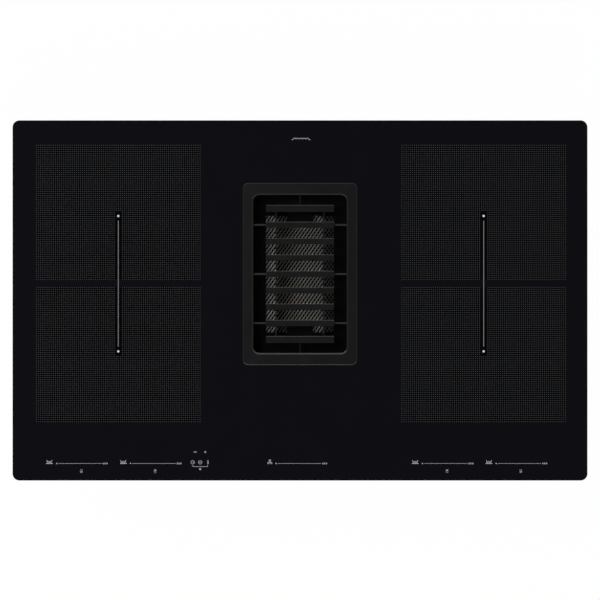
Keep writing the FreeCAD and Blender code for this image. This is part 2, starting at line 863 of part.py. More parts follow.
def spiral_solid(outward, mouth, z0, z1):
    """The room inside the spiral, or its outside when outward is the wall, open towards the back."""
    edges = [arc(spiral_centre(quarter), scroll_radius + quarter * scroll_growth + outward,
                 90 * (quarter + 1), 90 * (quarter + 2)) for quarter in range(3)]
    right = spiral_point(360, outward)
    centre = spiral_centre(0)
    radius = scroll_radius + outward
    left_x = -outlet_half - outward
    tongue_degrees = math.degrees(math.acos((left_x - centre.x) / radius))
    tongue = centre + polar(radius, tongue_degrees)
    corner_right = Vector(right.x, mouth, 0)
    corner_left = Vector(left_x, mouth, 0)
    edges += [line(right, corner_right), line(corner_right, corner_left), line(corner_left, tongue)]
    edges.append(arc(centre, radius, tongue_degrees, 90))
    face = Part.Face(Part.Wire(edges))
    face.translate(UP * z0)
    return face.extrude(UP * (z1 - z0))


def outlet_ears(y):
    """The two upright ears beside the outlet, with their screw holes."""
    inner = outlet_half + scroll_wall
    ears = [block(*sorted((side * inner, side * (inner + outlet_ear_width))), y, y + outlet_ear_thickness,
                  scroll_bottom, plenum_bottom) for side in SIDES]
    holes = [drill(Vector(x, y, z), BACK, outlet_ear_thickness) for x, z in outlet_screw_places()]
    return [ear.cut(holes) for ear in ears]


def outlet_screw_places():
    x = outlet_half + scroll_wall + outlet_ear_width - outlet_ear_hole_inset
    return [(side * x, z) for side in SIDES
            for z in (scroll_bottom + outlet_ear_hole_height, plenum_bottom - outlet_ear_hole_height)]


def scroll_boss_places():
    outward = scroll_wall + screw_head_radius + screw_hole_gap
    return [spiral_point(degrees, outward) for degrees in scroll_boss_angles]


def scroll_casing():
    shell = spiral_solid(scroll_wall, outlet_y, scroll_bottom, scroll_roof)
    bosses = [disc(place.x, place.y, scroll_boss_radius, scroll_roof - scroll_boss_height, scroll_roof)
              for place in scroll_boss_places()]
    body = joined([shell] + bosses + outlet_ears(outlet_y - outlet_ear_thickness))
    room = spiral_solid(0, outlet_y + overrun, scroll_floor, scroll_roof + overrun)
    motor_hole = disc(blower_x, blower_y, motor_radius + motor_hole_gap,
                      scroll_bottom - overrun, scroll_floor + overrun)
    drills = [drill(Vector(place.x, place.y, scroll_roof - scroll_boss_height), UP, scroll_boss_height)
              for place in scroll_boss_places()]
    drills += [drill(place + UP * scroll_bottom, UP, scroll_wall) for place in cover_screw_places()]
    return body.cut([room, motor_hole] + drills)


def scroll_top_plate():
    plate = spiral_solid(scroll_wall, outlet_y, scroll_roof, plenum_bottom)
    ears = [disc(place.x, place.y, scroll_boss_radius, scroll_roof, plenum_bottom)
            for place in scroll_boss_places()]
    mouth = disc(blower_x, blower_y, eye_radius + bellmouth_wall, scroll_roof - bellmouth_depth, scroll_roof)
    bosses = [disc(place.x, place.y, eye_boss_radius, scroll_roof - eye_boss_height, scroll_roof)
              for place in eye_screw_places()]
    eye = disc(blower_x, blower_y, eye_radius, scroll_roof - bellmouth_depth - overrun,
               plenum_bottom + overrun)
    drills = [drill(Vector(place.x, place.y, scroll_roof), UP, scroll_wall) for place in scroll_boss_places()]
    drills += [drill(place + UP * (scroll_roof - eye_boss_height), UP, scroll_wall + eye_boss_height)
               for place in eye_screw_places()]
    return joined([plate, mouth] + ears + bosses).cut([eye] + drills)


# Blower wheel and motor

def wheel_blade(number):
    blade = block(0, blade_chord, -blade_thickness / 2, blade_thickness / 2,
                  wheel_bottom, wheel_top - wheel_ring_thickness / 2)
    blade.rotate(Vector(), UP, blade_angle)
    blade.translate(Vector(wheel_radius - wheel_ring_width + blade_root_gap, 0, 0))
    blade.rotate(Vector(), UP, number * 360 / blade_count)
    blade.translate(Vector(blower_x, blower_y, 0))
    return blade


def fan_wheel():
    cup_radius = motor_radius + hub_gap + hub_wall
    plate = tube(blower_x, blower_y, wheel_radius, cup_radius - hub_wall,
                 wheel_bottom, wheel_bottom + wheel_plate_thickness)
    ring = tube(blower_x, blower_y, wheel_radius, wheel_radius - wheel_ring_width,
                wheel_top - wheel_ring_thickness, wheel_top)
    cup = disc(blower_x, blower_y, cup_radius, wheel_bottom, hub_top)
    cup = cup.cut(disc(blower_x, blower_y, cup_radius - hub_wall, wheel_bottom - overrun, hub_top - hub_wall))
    boss = disc(blower_x, blower_y, hub_boss_radius, hub_top - hub_boss_height, hub_top)
    blades = [wheel_blade(number) for number in range(blade_count)]
    bore = disc(blower_x, blower_y, shaft_radius + shaft_clearance,
                hub_top - hub_boss_height - overrun, hub_top + overrun)
    return joined([plate, ring, cup, boss] + blades).cut(bore)


def motor_shaft():
    return disc(blower_x, blower_y, shaft_radius, motor_cavity_bottom + shaft_clearance, hub_top + shaft_stub)


def bearing_spans():
    """The bottom and top height of the lower and the upper bearing."""
    return ((motor_cavity_bottom, motor_cavity_bottom + bearing_height),
            (motor_cavity_top - bearing_height, motor_cavity_top))


def motor_body():
    can = disc(blower_x, blower_y, motor_radius, motor_bottom, motor_top)
    cavity = disc(blower_x, blower_y, motor_radius - motor_wall, motor_cavity_bottom, motor_cavity_top)
    bosses = [tube(blower_x, blower_y, bearing_radius + bearing_boss_wall, bearing_radius + shaft_clearance,
                   *span) for span in bearing_spans()]
    passage = disc(blower_x, blower_y, shaft_radius + rotor_air_gap, motor_cavity_top - overrun,
                   motor_top + overrun)
    return joined([can.cut(cavity)] + bosses).cut(passage)


def motor_bearings():
    return group(tube(blower_x, blower_y, bearing_radius, shaft_radius + shaft_clearance, *span)
                 for span in bearing_spans())


def motor_stator():
    outer = motor_radius - motor_wall - stator_seat_gap
    middle = (motor_cavity_bottom + motor_cavity_top) / 2
    low = middle - stator_height / 2
    high = middle + stator_height / 2
    core = tube(blower_x, blower_y, outer, stator_inner_radius, low, high)
    slots = []
    for number in range(stator_slot_count):
        slot = block(0, outer - stator_rim, -stator_slot_width / 2, stator_slot_width / 2,
                     low - overrun, high + overrun)
        slot.rotate(Vector(), UP, number * 360 / stator_slot_count)
        slot.translate(Vector(blower_x, blower_y, 0))
        slots.append(slot)
    return core.cut(slots)


def motor_rotor():
    (lower, upper) = bearing_spans()
    return tube(blower_x, blower_y, stator_inner_radius - rotor_air_gap, shaft_radius + shaft_clearance,
                lower[1] + rotor_end_gap, upper[0] - rotor_end_gap)


def cover_screw_places():
    ring = (motor_radius + motor_hole_gap + motor_cover_radius) / 2
    centre = Vector(blower_x, blower_y, 0)
    return [centre + polar(ring, number * 360 / cover_screw_count) for number in range(cover_screw_count)]


def motor_cover():
    plate = disc(blower_x, blower_y, motor_cover_radius, scroll_bottom - motor_cover_thickness, scroll_bottom)
    drills = [drill(place + UP * (scroll_bottom - motor_cover_thickness), UP, motor_cover_thickness)
              for place in cover_screw_places()]
    return plate.cut(drills)


def motor_bushes():
    centre = Vector(blower_x, blower_y, 0)
    places = [centre + polar(motor_radius - bush_radius, number * 360 / bush_count)
              for number in range(bush_count)]
    return group(disc(place.x, place.y, bush_radius, scroll_bottom, motor_bottom) for place in places)


# Rear outlet and its flaps

def upright_section(y, half_width, z0, z1):
    corners = [Vector(-half_width, y, z0), Vector(half_width, y, z0),
               Vector(half_width, y, z1), Vector(-half_width, y, z1)]
    return Part.makePolygon(corners + corners[:1])


def flared_duct(start, start_half, start_span, half, span, end):
    """A duct that widens from its start section to its straight end."""
    flare = Part.makeLoft([upright_section(start, start_half, *start_span),
                           upright_section(spigot_throat, half, *span)], True, True)
    return joined([flare, block(-half, half, spigot_throat, end, *span)])


def outlet_spigot():
    half = spigot_width / 2
    inner_half = half - spigot_wall
    inner_span = (spigot_bottom + spigot_wall, spigot_top - spigot_wall)
    outer = flared_duct(outlet_y, outlet_half + scroll_wall, (scroll_bottom, plenum_bottom),
                        half, (spigot_bottom, spigot_top), spigot_end)
    inner = flared_duct(outlet_y, outlet_half, (scroll_floor, scroll_roof), inner_half, inner_span,
                        spigot_end + overrun)
    shell = joined([outer] + outlet_ears(outlet_y)).cut(inner)
    pin_holes = [Part.makeCylinder(flap_pin_radius + shaft_clearance, spigot_width + 2 * overrun,
                                   Vector(-half - overrun, flap_y, z), Vector(1, 0, 0))
                 for z in (flap_upper_z, flap_lower_z)]
    stops = []
    near = flap_y - flap_thickness / 2 - flap_stop_gap
    for pin_z in (flap_upper_z, flap_lower_z):
        low = pin_z - flap_length() + flap_barrel_radius
        high = pin_z - 2 * flap_barrel_radius
        stops += [block(*sorted((side * inner_half, side * (inner_half - flap_stop_width))),
                        near - flap_stop_thickness, near, low, high) for side in SIDES]
    return joined([shell.cut(pin_holes)] + stops)


def flap_length():
    """From a flap's pin to its lower edge, which just clears the next flap's barrel."""
    return flap_pitch - flap_barrel_radius - flap_edge_gap


def flap(pin_z):
    half = spigot_width / 2 - spigot_wall - flap_side_gap
    vane = block(-half, half, flap_y - flap_thickness / 2, flap_y + flap_thickness / 2,
                 pin_z - flap_length(), pin_z)
    barrel = Part.makeCylinder(flap_barrel_radius, 2 * half, Vector(-half, flap_y, pin_z), Vector(1, 0, 0))
    bore = Part.makeCylinder(flap_pin_radius + shaft_clearance, 2 * half + 2 * overrun,
                             Vector(-half - overrun, flap_y, pin_z), Vector(1, 0, 0))
    return joined([vane, barrel]).cut(bore)


def flap_upper():
    return flap(flap_upper_z)


def flap_lower():
    return flap(flap_lower_z)


def flap_pins():
    return group(Part.makeCylinder(flap_pin_radius, spigot_width, Vector(-spigot_width / 2, flap_y, z),
                                   Vector(1, 0, 0)) for z in (flap_upper_z, flap_lower_z))


# Induction coils

def zones():
    return [(side * zone_x, y) for side in SIDES for y in (zone_rear_y, zone_front_y)]


def coil_outline(inset):
    """Width, depth and corner of a coil's outline, drawn in by inset all round."""
    return (coil_width - 2 * inset, coil_depth - 2 * inset, max(coil_corner - inset, coil_core_corner))


def mica_sheets():
    return group(rounded_plate(x, y, *coil_outline(-mica_margin), coil_top, glass_under) for x, y in zones())


def coil_windings():
    reach = min(coil_width, coil_depth) / 2
    return group(framed_plate(x, y, coil_outline(outer * reach), coil_outline(inner * reach),
                              coil_bottom, coil_top)
                 for x, y in zones() for outer, inner in coil_band_shares)


def coil_formers():
    return group(rounded_plate(x, y, *coil_outline(-former_margin), former_bottom, coil_bottom)
                 .cut(disc(x, y, sensor_radius + sensor_gap, former_bottom - overrun, coil_bottom + overrun))
                 for x, y in zones())


def ferrite_bars():
    bars = []
    for x, y in zones():
        for number in range(ferrite_count):
            bar = block(ferrite_start, ferrite_start + ferrite_length, -ferrite_width / 2, ferrite_width / 2,
                        coil_plate_top, former_bottom)
            bar.rotate(Vector(), UP, number * 360 / ferrite_count)
            bar.translate(Vector(x, y, 0))
            bars.append(bar)
    return group(bars)


def coil_sensors():
    return group(disc(x, y, sensor_radius, coil_plate_top, coil_top) for x, y in zones())


def coil_plates():
    half = coil_width / 2 + coil_plate_margin
    return group(block(side * zone_x - half, side * zone_x + half, coil_front - coil_plate_margin,
                       coil_rear + coil_plate_margin, coil_plate_bottom, coil_plate_top) for side in SIDES)


def plate_posts():
    """Three posts along each long side of a coil plate; the outer row ends in front of the fan."""
    inward = post_inset - coil_plate_margin
    first = coil_front + inward
    rows = ((coil_inner + inward, coil_rear - inward),
            (coil_outer - inward, fan_y - fan_size / 2 - post_fan_gap))
    return group(disc(side * x, y, post_radius, casing_floor, coil_plate_bottom)
                 for side in SIDES for x, last in rows for y in (first, (first + last) / 2, last))


# Power electronics

def power_boards():
    return group(centred_block(side * board_x, board_y, board_width, board_depth, board_bottom, board_top)
                 for side in SIDES)


def filter_board():
    return centred_block(0, filter_board_y, filter_board_width, filter_board_depth, board_bottom, board_top)


def standoff_places():
    boards = [(side * board_x, board_y, board_width, board_depth, (-1, 0, 1)) for side in SIDES]
    boards.append((0, filter_board_y, filter_board_width, filter_board_depth, SIDES))
    return [(x + across * (width / 2 - standoff_inset), y + along * (depth / 2 - standoff_inset))
            for x, y, width, depth, rows in boards for across in SIDES for along in rows]


def board_standoffs():
    return group(disc(x, y, standoff_radius, casing_floor, board_bottom) for x, y in standoff_places())


def sink_centre(side):
    return side * (board_x + sink_x_share * board_width), board_y + sink_y_share * board_depth


def heat_sinks():
    sinks = []
    fin_top = sink_bottom + sink_base + sink_fin_height
    for side in SIDES:
        x, y = sink_centre(side)
        base = centred_block(x, y, sink_width, sink_depth, sink_bottom, sink_bottom + sink_base)
        pitch = (sink_width - sink_fin_thickness) / (sink_fin_count - 1)
        fins = [centred_block(x + (number - (sink_fin_count - 1) / 2) * pitch, y, sink_fin_thickness,
                              sink_depth, sink_bottom, fin_top) for number in range(sink_fin_count)]
        sinks.append(joined([base] + fins))
    return group(sinks)


def power_modules():
    modules = []
    for side in SIDES:
        x, y = sink_centre(side)
        pitch = sink_depth / module_count
        modules += [centred_block(x, y + (number - (module_count - 1) / 2) * pitch, module_width,
                                  module_depth_share * pitch, board_top, sink_bottom)
                    for number in range(module_count)]
    return group(modules)


def capacitors():
    pitch = capacitor_pitch_share * board_depth
    return group(centred_block(side * (board_x + capacitor_x_share * board_width),
                               board_y + (number - (capacitor_count - 1) / 2) * pitch,
                               capacitor_width, capacitor_depth, board_top, board_top + capacitor_height)
                 for side in SIDES for number in range(capacitor_count))


def chokes():
    x = board_x + choke_x_share * board_width
    spacing = choke_spacing_share * board_depth
    places = [(side * x, board_y + end * spacing / 2) for side in SIDES for end in SIDES]
    places += [(side * filter_choke_spacing / 2, filter_board_y) for side in SIDES]
    return group(tube(x, y, choke_radius, choke_bore, board_top, board_top + choke_height) for x, y in places)


# Cooling fans

def cooling_frame(side):
    x = side * fan_x
    low = casing_floor
    high = casing_floor + fan_height
    bore = fan_size / 2 - fan_bore_wall
    frame = centred_block(x, fan_y, fan_size, fan_size, low, high).cut(disc(x, fan_y, bore, low - overrun,
                                                                            high + overrun))
    arms = centred_block(x, fan_y, fan_size - fan_bore_wall, fan_arm_width, low, low + fan_hub_plate)
    cross = centred_block(x, fan_y, fan_arm_width, fan_size - fan_bore_wall, low, low + fan_hub_plate)
    hub = disc(x, fan_y, fan_hub_radius, low, low + fan_hub_plate)
    pin = disc(x, fan_y, fan_pin_radius, low, high - 2 * fan_axial_gap)
    reach = fan_size / 2 - fan_hole_inset
    holes = [disc(x + across * reach, fan_y + along * reach, fan_hole_radius, low - overrun, high + overrun)
             for across in SIDES for along in SIDES]
    return joined([frame, arms, cross, hub, pin]).cut(holes)


def cooling_fan_frames():
    return group(cooling_frame(side) for side in SIDES)


def cooling_rotor(side):
    x = side * fan_x
    low = casing_floor + fan_hub_plate + fan_axial_gap
    high = casing_floor + fan_height - fan_axial_gap
    tip = fan_size / 2 - fan_bore_wall - fan_tip_gap
    middle = (low + high) / 2
    blades = []
    for number in range(fan_blade_count):
        blade = block(0, tip, -fan_blade_thickness / 2, fan_blade_thickness / 2,
                      -fan_blade_chord / 2, fan_blade_chord / 2)
        blade.rotate(Vector(), Vector(1, 0, 0), fan_blade_tilt)
        blade.translate(UP * middle)
        blade.rotate(Vector(), UP, number * 360 / fan_blade_count)
        blade.translate(Vector(x, fan_y, 0))
        blades.append(blade)
    sweep = disc(x, fan_y, tip, low, high)
    rotor = joined([disc(x, fan_y, fan_hub_radius, low, high)] + blades).common(sweep)
    bore = disc(x, fan_y, fan_pin_radius + shaft_clearance, low - overrun,
                high - fan_axial_gap + shaft_clearance)
    return rotor.cut(bore)


def cooling_rotor_left():
    return cooling_rotor(-1)


def cooling_rotor_right():
    return cooling_rotor(1)


# Touch controls

def slider_centres():
    return (-slider_outer_x, -slider_inner_x, 0.0, slider_inner_x, slider_outer_x)


def touch_pad_places():
    """Under each slider and its key, and under the timer keys."""
    pitch = slider_length / (slider_pad_count - 1)
    places = [(x - slider_length / 2 + number * pitch, touch_y)
              for x in slider_centres() for number in range(slider_pad_count)]
    places += [(x - slider_key_offset, touch_y) for x in slider_centres()]
    places += [(timer_key_x + step * timer_key_spacing, touch_y) for step in (-1, 0, 1)]
    places += [(timer_key_x + step * timer_key_spacing, touch_y + timer_key_row_rise) for step in SIDES]
    return places


def touch_board():
    return centred_block(0, touch_board_y, touch_board_width, touch_board_depth,
                         touch_board_bottom, touch_board_top)


def touch_carrier():
    plate = centred_block(0, touch_board_y, touch_board_width, touch_board_depth,
                          touch_carrier_bottom, touch_board_bottom)
    span = touch_board_width - touch_leg_size
    legs = [centred_block((number / (touch_leg_count - 1) - 1 / 2) * span, touch_board_y, touch_leg_size,
                          touch_leg_size, casing_floor, touch_carrier_bottom)
            for number in range(touch_leg_count)]
    return joined([plate] + legs)


def touch_pads():
    return group(disc(x, y, touch_pad_radius, touch_board_top, glass_under) for x, y in touch_pad_places())


def display_modules():
    return group(centred_block(x, display_y, display_width, display_depth, touch_board_top,
                               touch_board_top + display_height) for x in slider_centres())


# Mains connection

def terminal_base():
    y = terminal_front + terminal_depth / 2
    plate = centred_block(terminal_x, y, terminal_width, terminal_depth,
                          casing_bottom - terminal_wall, casing_bottom)
    wire_hole = disc(terminal_x + terminal_hole_offset, y, terminal_hole_radius,
                     casing_bottom - terminal_wall - overrun, casing_bottom + overrun)
    drills = [drill(Vector(x, y, casing_bottom - terminal_wall), UP, terminal_wall)
              for x, y in terminal_screw_places()]
    return plate.cut([wire_hole] + drills)


def terminal_box():
    """The four walls under the base, with the gland's hole in the rear one."""
    y = terminal_front + terminal_depth / 2
    top = casing_bottom - terminal_wall
    shell = centred_block(terminal_x, y, terminal_width, terminal_depth, terminal_bottom, top)
    hollow = centred_block(terminal_x, y, terminal_width - 2 * terminal_wall,
                           terminal_depth - 2 * terminal_wall, terminal_bottom - overrun, top + overrun)
    gland_hole = Part.makeCylinder(gland_tube_radius + gland_seat_gap, terminal_wall + 2 * overrun,
                                   Vector(terminal_x, terminal_rear - terminal_wall - overrun, gland_z), BACK)
    return shell.cut([hollow, gland_hole])


def terminal_cover():
    y = terminal_front + terminal_depth / 2
    plate = centred_block(terminal_x, y, terminal_width, terminal_depth,
                          terminal_bottom - terminal_cover_thickness, terminal_bottom)
    inset = terminal_wall + terminal_lip_gap
    lip = centred_block(terminal_x, y, terminal_width - 2 * inset, terminal_depth - 2 * inset,
                        terminal_bottom, terminal_bottom + terminal_cover_lip)
    room = centred_block(terminal_x, y, terminal_width - 2 * inset - 2 * terminal_wall,
                         terminal_depth - 2 * inset - 2 * terminal_wall,
                         terminal_bottom, terminal_bottom + terminal_cover_lip + overrun)
    return joined([plate, lip]).cut(room)


def terminal_block():
    y = terminal_front + terminal_depth / 2 + terminal_block_y_offset
    top = casing_bottom - terminal_wall
    bottom = top - terminal_block_height
    body = centred_block(terminal_x, y, terminal_block_width, terminal_block_depth, bottom, top)
    pitch = terminal_block_width / terminal_post_count
    wells = [disc(terminal_x + (number - (terminal_post_count - 1) / 2) * pitch, y, terminal_post_radius,
                  bottom - overrun, bottom + terminal_block_height / 2)
             for number in range(terminal_post_count)]
    return body.cut(wells)


def cord_gland():
    inner_end = terminal_rear - terminal_wall - gland_tail
    outer_end = terminal_rear + gland_reach
    start = Vector(terminal_x, inner_end, gland_z)
    barrel = Part.makeCylinder(gland_tube_radius, outer_end - inner_end, start, BACK)
    flange = Part.makeCylinder(gland_flange_radius, gland_flange_thickness,
                               Vector(terminal_x, terminal_rear, gland_z), BACK)
    bore = Part.makeCylinder(gland_bore, outer_end - inner_end + 2 * overrun, start - BACK * overrun, BACK)
    return joined([barrel, flange]).cut(bore)


# Brackets and screws

def fixing_brackets():
    brackets = []
    wall = casing_width / 2
    for side in SIDES:
        for end in SIDES:
            y = end * bracket_y
            leg = block(*sorted((side * wall, side * (wall + bracket_sheet))), y - bracket_width / 2,
                        y + bracket_width / 2, -bracket_drop - bracket_leg, -bracket_drop)
            tab = block(*sorted((side * wall, side * (wall + bracket_tab))), y - bracket_width / 2,
                        y + bracket_width / 2, -bracket_drop - bracket_sheet, -bracket_drop)
            hole = disc(side * (wall + bracket_hole_reach), y, bracket_hole_radius,
                        -bracket_drop - bracket_sheet - overrun, -bracket_drop + overrun)
            drills = [drill(Vector(side * wall, place, z), Vector(side, 0, 0), bracket_sheet)
                      for _, place, z in bracket_screw_places()]
            brackets.append(joined([leg, tab]).cut([hole] + drills))
    return group(brackets)


def casing_screws():
    """The screws through the casing: plenum flange, terminal box and brackets."""
    tip = casing_floor + screw_grip
    screws = [screw(Vector(x, y, tip), Vector(x, y, plenum_top - plenum_sheet), DOWN)
              for x, y in plenum_screw_places()]
    screws += [screw(Vector(x, y, tip), Vector(x, y, casing_bottom - terminal_wall), DOWN)
               for x, y in terminal_screw_places()]
    seat = casing_width / 2 + bracket_sheet
    point = casing_width / 2 - casing_sheet - screw_grip
    screws += [screw(Vector(side * point, y, z), Vector(side * seat, y, z), Vector(side, 0, 0))
               for side, y, z in bracket_screw_places()]
    return group(screws)


def blower_screws():
    """The screws of the blower: housing, inlet eye, motor cover and outlet."""
    screws = [screw(Vector(place.x, place.y, plenum_bottom - scroll_wall / 2),
                    Vector(place.x, place.y, scroll_roof - scroll_boss_height), DOWN)
              for place in scroll_boss_places()]
    screws += [screw(place + UP * (scroll_roof - eye_boss_height),
                     place + UP * (plenum_bottom + plenum_sheet), UP)
               for place in eye_screw_places()]
    screws += [screw(place + UP * scroll_floor, place + UP * (scroll_bottom - motor_cover_thickness), DOWN)
               for place in cover_screw_places()]
    screws += [screw(Vector(x, outlet_y - outlet_ear_thickness - screw_grip, z),
                     Vector(x, outlet_y + outlet_ear_thickness, z), BACK) for x, z in outlet_screw_places()]
    return group(screws)


nodes = (
    glass_panel, sealing_gasket, glass_bond, casing_tray,
    grille_frame, grille_pads, slat_grid, grille_arms,
    duct_seal, suction_duct, spill_tray,
    filter_frame, filter_mesh, filter_handles,
    plenum_box, plenum_seal,
    scroll_casing, scroll_top_plate, fan_wheel,
    motor_shaft, motor_body, motor_bearings, motor_stator, motor_rotor, motor_cover, motor_bushes,
    outlet_spigot, flap_upper, flap_lower, flap_pins,
    mica_sheets, coil_windings, coil_formers, ferrite_bars, coil_sensors, coil_plates, plate_posts,
    power_boards, filter_board, board_standoffs, heat_sinks, power_modules, capacitors, chokes,
    cooling_fan_frames, cooling_rotor_left, cooling_rotor_right,
    touch_board, touch_carrier, touch_pads, display_modules,
    terminal_base, terminal_box, terminal_cover, terminal_block, cord_gland,
    fixing_brackets, casing_screws, blower_screws,
)

os.makedirs("parts", exist_ok=True)
for node in nodes:
    shape = node()
    shape.exportStep(os.path.join("parts", node.__name__ + ".step"))
    print(node.__name__, len(shape.Solids), round(shape.Volume), shape.isValid())
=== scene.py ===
import json
import math

import bmesh
import bpy
from mathutils import Matrix, Vector


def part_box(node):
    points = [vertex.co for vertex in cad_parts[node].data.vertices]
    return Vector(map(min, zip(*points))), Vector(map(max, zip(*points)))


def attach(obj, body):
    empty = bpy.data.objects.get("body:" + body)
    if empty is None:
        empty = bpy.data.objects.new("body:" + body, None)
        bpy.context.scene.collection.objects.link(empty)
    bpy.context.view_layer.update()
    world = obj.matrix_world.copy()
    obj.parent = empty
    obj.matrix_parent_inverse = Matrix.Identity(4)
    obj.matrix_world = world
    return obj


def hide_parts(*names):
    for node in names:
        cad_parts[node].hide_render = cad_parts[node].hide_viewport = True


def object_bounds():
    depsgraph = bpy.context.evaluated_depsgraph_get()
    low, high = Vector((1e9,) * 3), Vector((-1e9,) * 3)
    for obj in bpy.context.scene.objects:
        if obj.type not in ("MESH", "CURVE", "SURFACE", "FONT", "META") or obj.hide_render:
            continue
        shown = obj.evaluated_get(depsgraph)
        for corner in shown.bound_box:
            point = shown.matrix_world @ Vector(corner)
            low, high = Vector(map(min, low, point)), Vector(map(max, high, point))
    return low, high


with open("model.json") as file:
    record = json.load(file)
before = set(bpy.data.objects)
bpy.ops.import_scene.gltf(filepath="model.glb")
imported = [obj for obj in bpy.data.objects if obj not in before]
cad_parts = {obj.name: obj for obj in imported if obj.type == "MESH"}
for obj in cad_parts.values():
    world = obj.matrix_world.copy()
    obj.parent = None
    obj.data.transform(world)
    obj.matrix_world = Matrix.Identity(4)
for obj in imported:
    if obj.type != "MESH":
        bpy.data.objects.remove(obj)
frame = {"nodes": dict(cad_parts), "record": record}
cad_low, cad_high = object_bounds()

MM = 0.001
SIDES = (-1, 1)
WHITE = (1, 1, 1, 1)
WEB_X = 34.8 * MM

# The photograph: the object's centre is near the picture's, and one pixel is this wide on the glass
PIXEL = 1.4435 * MM
PICTURE_SIDE = 600
PICTURE_CENTRE_ROW = 300.44

# Places that the frame gives
GLASS_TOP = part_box("glass_panel")[1].z
ARM_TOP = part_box("grille_arms")[1].z
rim_low, rim_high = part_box("grille_frame")
VENT_Y = (rim_low.y + rim_high.y) / 2

# Painted shade on the black coat, by height: from fully dark up to unshaded. The arms at both ends lie wholly
# in the dark part.
MOUTH_SHADE = (GLASS_TOP - 6 * MM, GLASS_TOP)
ARM_SHADE = (ARM_TOP - 3.5 * MM, ARM_TOP)

# The rim's front bar, whose bevels get a painted highlight: its rear side, and the width over which that
# highlight ends
FRONT_BAR_Y = rim_low.y + 25 * MM
FRONT_BAR_FADE = 5 * MM


# Forms

def new_piece(name, body, material):
    """An empty mesh object that rides on a body; its shape is made by a bmesh afterwards."""
    mesh = bpy.data.meshes.new(name)
    piece = bpy.data.objects.new(name, mesh)
    bpy.context.scene.collection.objects.link(piece)
    mesh.materials.append(material)
    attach(piece, body)
    return piece


def finish_piece(piece, bm):
    """Writes the bmesh into the piece, with its doubles merged and its faces pointing outwards."""
    bmesh.ops.remove_doubles(bm, verts=bm.verts, dist=0.001 * MM)
    bmesh.ops.recalc_face_normals(bm, faces=bm.faces)
    bm.to_mesh(piece.data)
    bm.free()


def add_block(bm, low, high):
    """A box between two corners."""
    size = [b - a for a, b in zip(low, high)]
    centre = [(a + b) / 2 for a, b in zip(low, high)]
    matrix = Matrix.Translation(centre) @ Matrix.Diagonal((*size, 1))
    bmesh.ops.create_cube(bm, size=1, matrix=matrix)


def add_stroke(bm, start, end, width, low, high):
    """A straight bar of a width between two points, from one height to another."""
    start, end = Vector(start), Vector(end)
    run = end - start
    middle = (start + end) / 2
    matrix = (Matrix.Translation((middle.x, middle.y, (low + high) / 2))
              @ Matrix.Rotation(math.atan2(run.y, run.x), 4, "Z")
              @ Matrix.Diagonal((run.length, width, high - low, 1)))
    bmesh.ops.create_cube(bm, size=1, matrix=matrix)


def add_disc(bm, centre, radius, depth, segments=32):
    """An upright disc, from centre's height up."""
    matrix = Matrix.Translation(Vector(centre) + Vector((0, 0, depth / 2)))
    bmesh.ops.create_cone(bm, cap_ends=True, segments=segments, radius1=radius, radius2=radius,
                          depth=depth, matrix=matrix)


# Materials

# A Mix node's two colours and its result. They go by number, because its other kinds share their names.
MIX_FIRST, MIX_SECOND, MIX_RESULT = 6, 7, 2

# How far a surface faces up: the flat glass, and its ground edge
FLAT_FACING, EDGE_FACING = 0.95, 0.8

# How far a surface faces up times how far it faces back: none on a flat face, and a half on a bevel
NO_BEVEL, FULL_BEVEL = 0.2, 0.4

# How far a surface faces right times how far it faces back, which tells the two runs of strands apart
RUN_SIDE = 0.05

# The width over which the painted shadow on the strip beyond the right-hand web begins, just inside the web
STRIP_SHADOW_FADE = 3 * MM

# How far the roughness of a moulded skin drifts to both sides
SKIN_DRIFT = 0.05


def colour(code):
    """An sRGB hex code as a linear colour."""
    parts = [int(code[place:place + 2], 16) / 255 for place in (1, 3, 5)]
    linear = [part / 12.92 if part <= 0.04045 else ((part + 0.055) / 1.055) ** 2.4 for part in parts]
    return (*linear, 1)


def set_inputs(tree, node, inputs):
    """Gives each input a value, or links another node's output to it."""
    for name, value in inputs.items():
        if isinstance(value, bpy.types.NodeSocket):
            tree.links.new(value, node.inputs[name])
        else:
            node.inputs[name].default_value = value


def add_node(tree, kind, inputs=None, **settings):
    """Adds a node with its settings, its values and its links."""
    node = tree.nodes.new(kind)
    for name, value in settings.items():
        setattr(node, name, value)
    set_inputs(tree, node, inputs or {})
    return node


def new_material(name, inputs):
    """A material with one Principled shader, and the object's own coordinates and surface directions."""
    material = bpy.data.materials.new(name)
    material.use_nodes = True
    tree = material.node_tree
    shader = tree.nodes["Principled BSDF"]
    set_inputs(tree, shader, inputs)
    place = add_node(tree, "ShaderNodeTexCoord")
    return material, tree, shader, place.outputs["Object"], place.outputs["Normal"]


def drift(tree, shader, tone, dark, light, gloss, low, high):
    """Lets one pattern drift the base colour between two sRGB codes, and one the roughness."""
    blend = add_node(tree, "ShaderNodeMix",
                     {"Factor": tone, MIX_FIRST: colour(dark), MIX_SECOND: colour(light)}, data_type="RGBA")
    rough = add_node(tree, "ShaderNodeMapRange", {"Value": gloss, "To Min": low, "To Max": high})
    set_inputs(tree, shader, {"Base Color": blend.outputs[MIX_RESULT], "Roughness": rough.outputs["Result"]})
    return blend.outputs[MIX_RESULT]


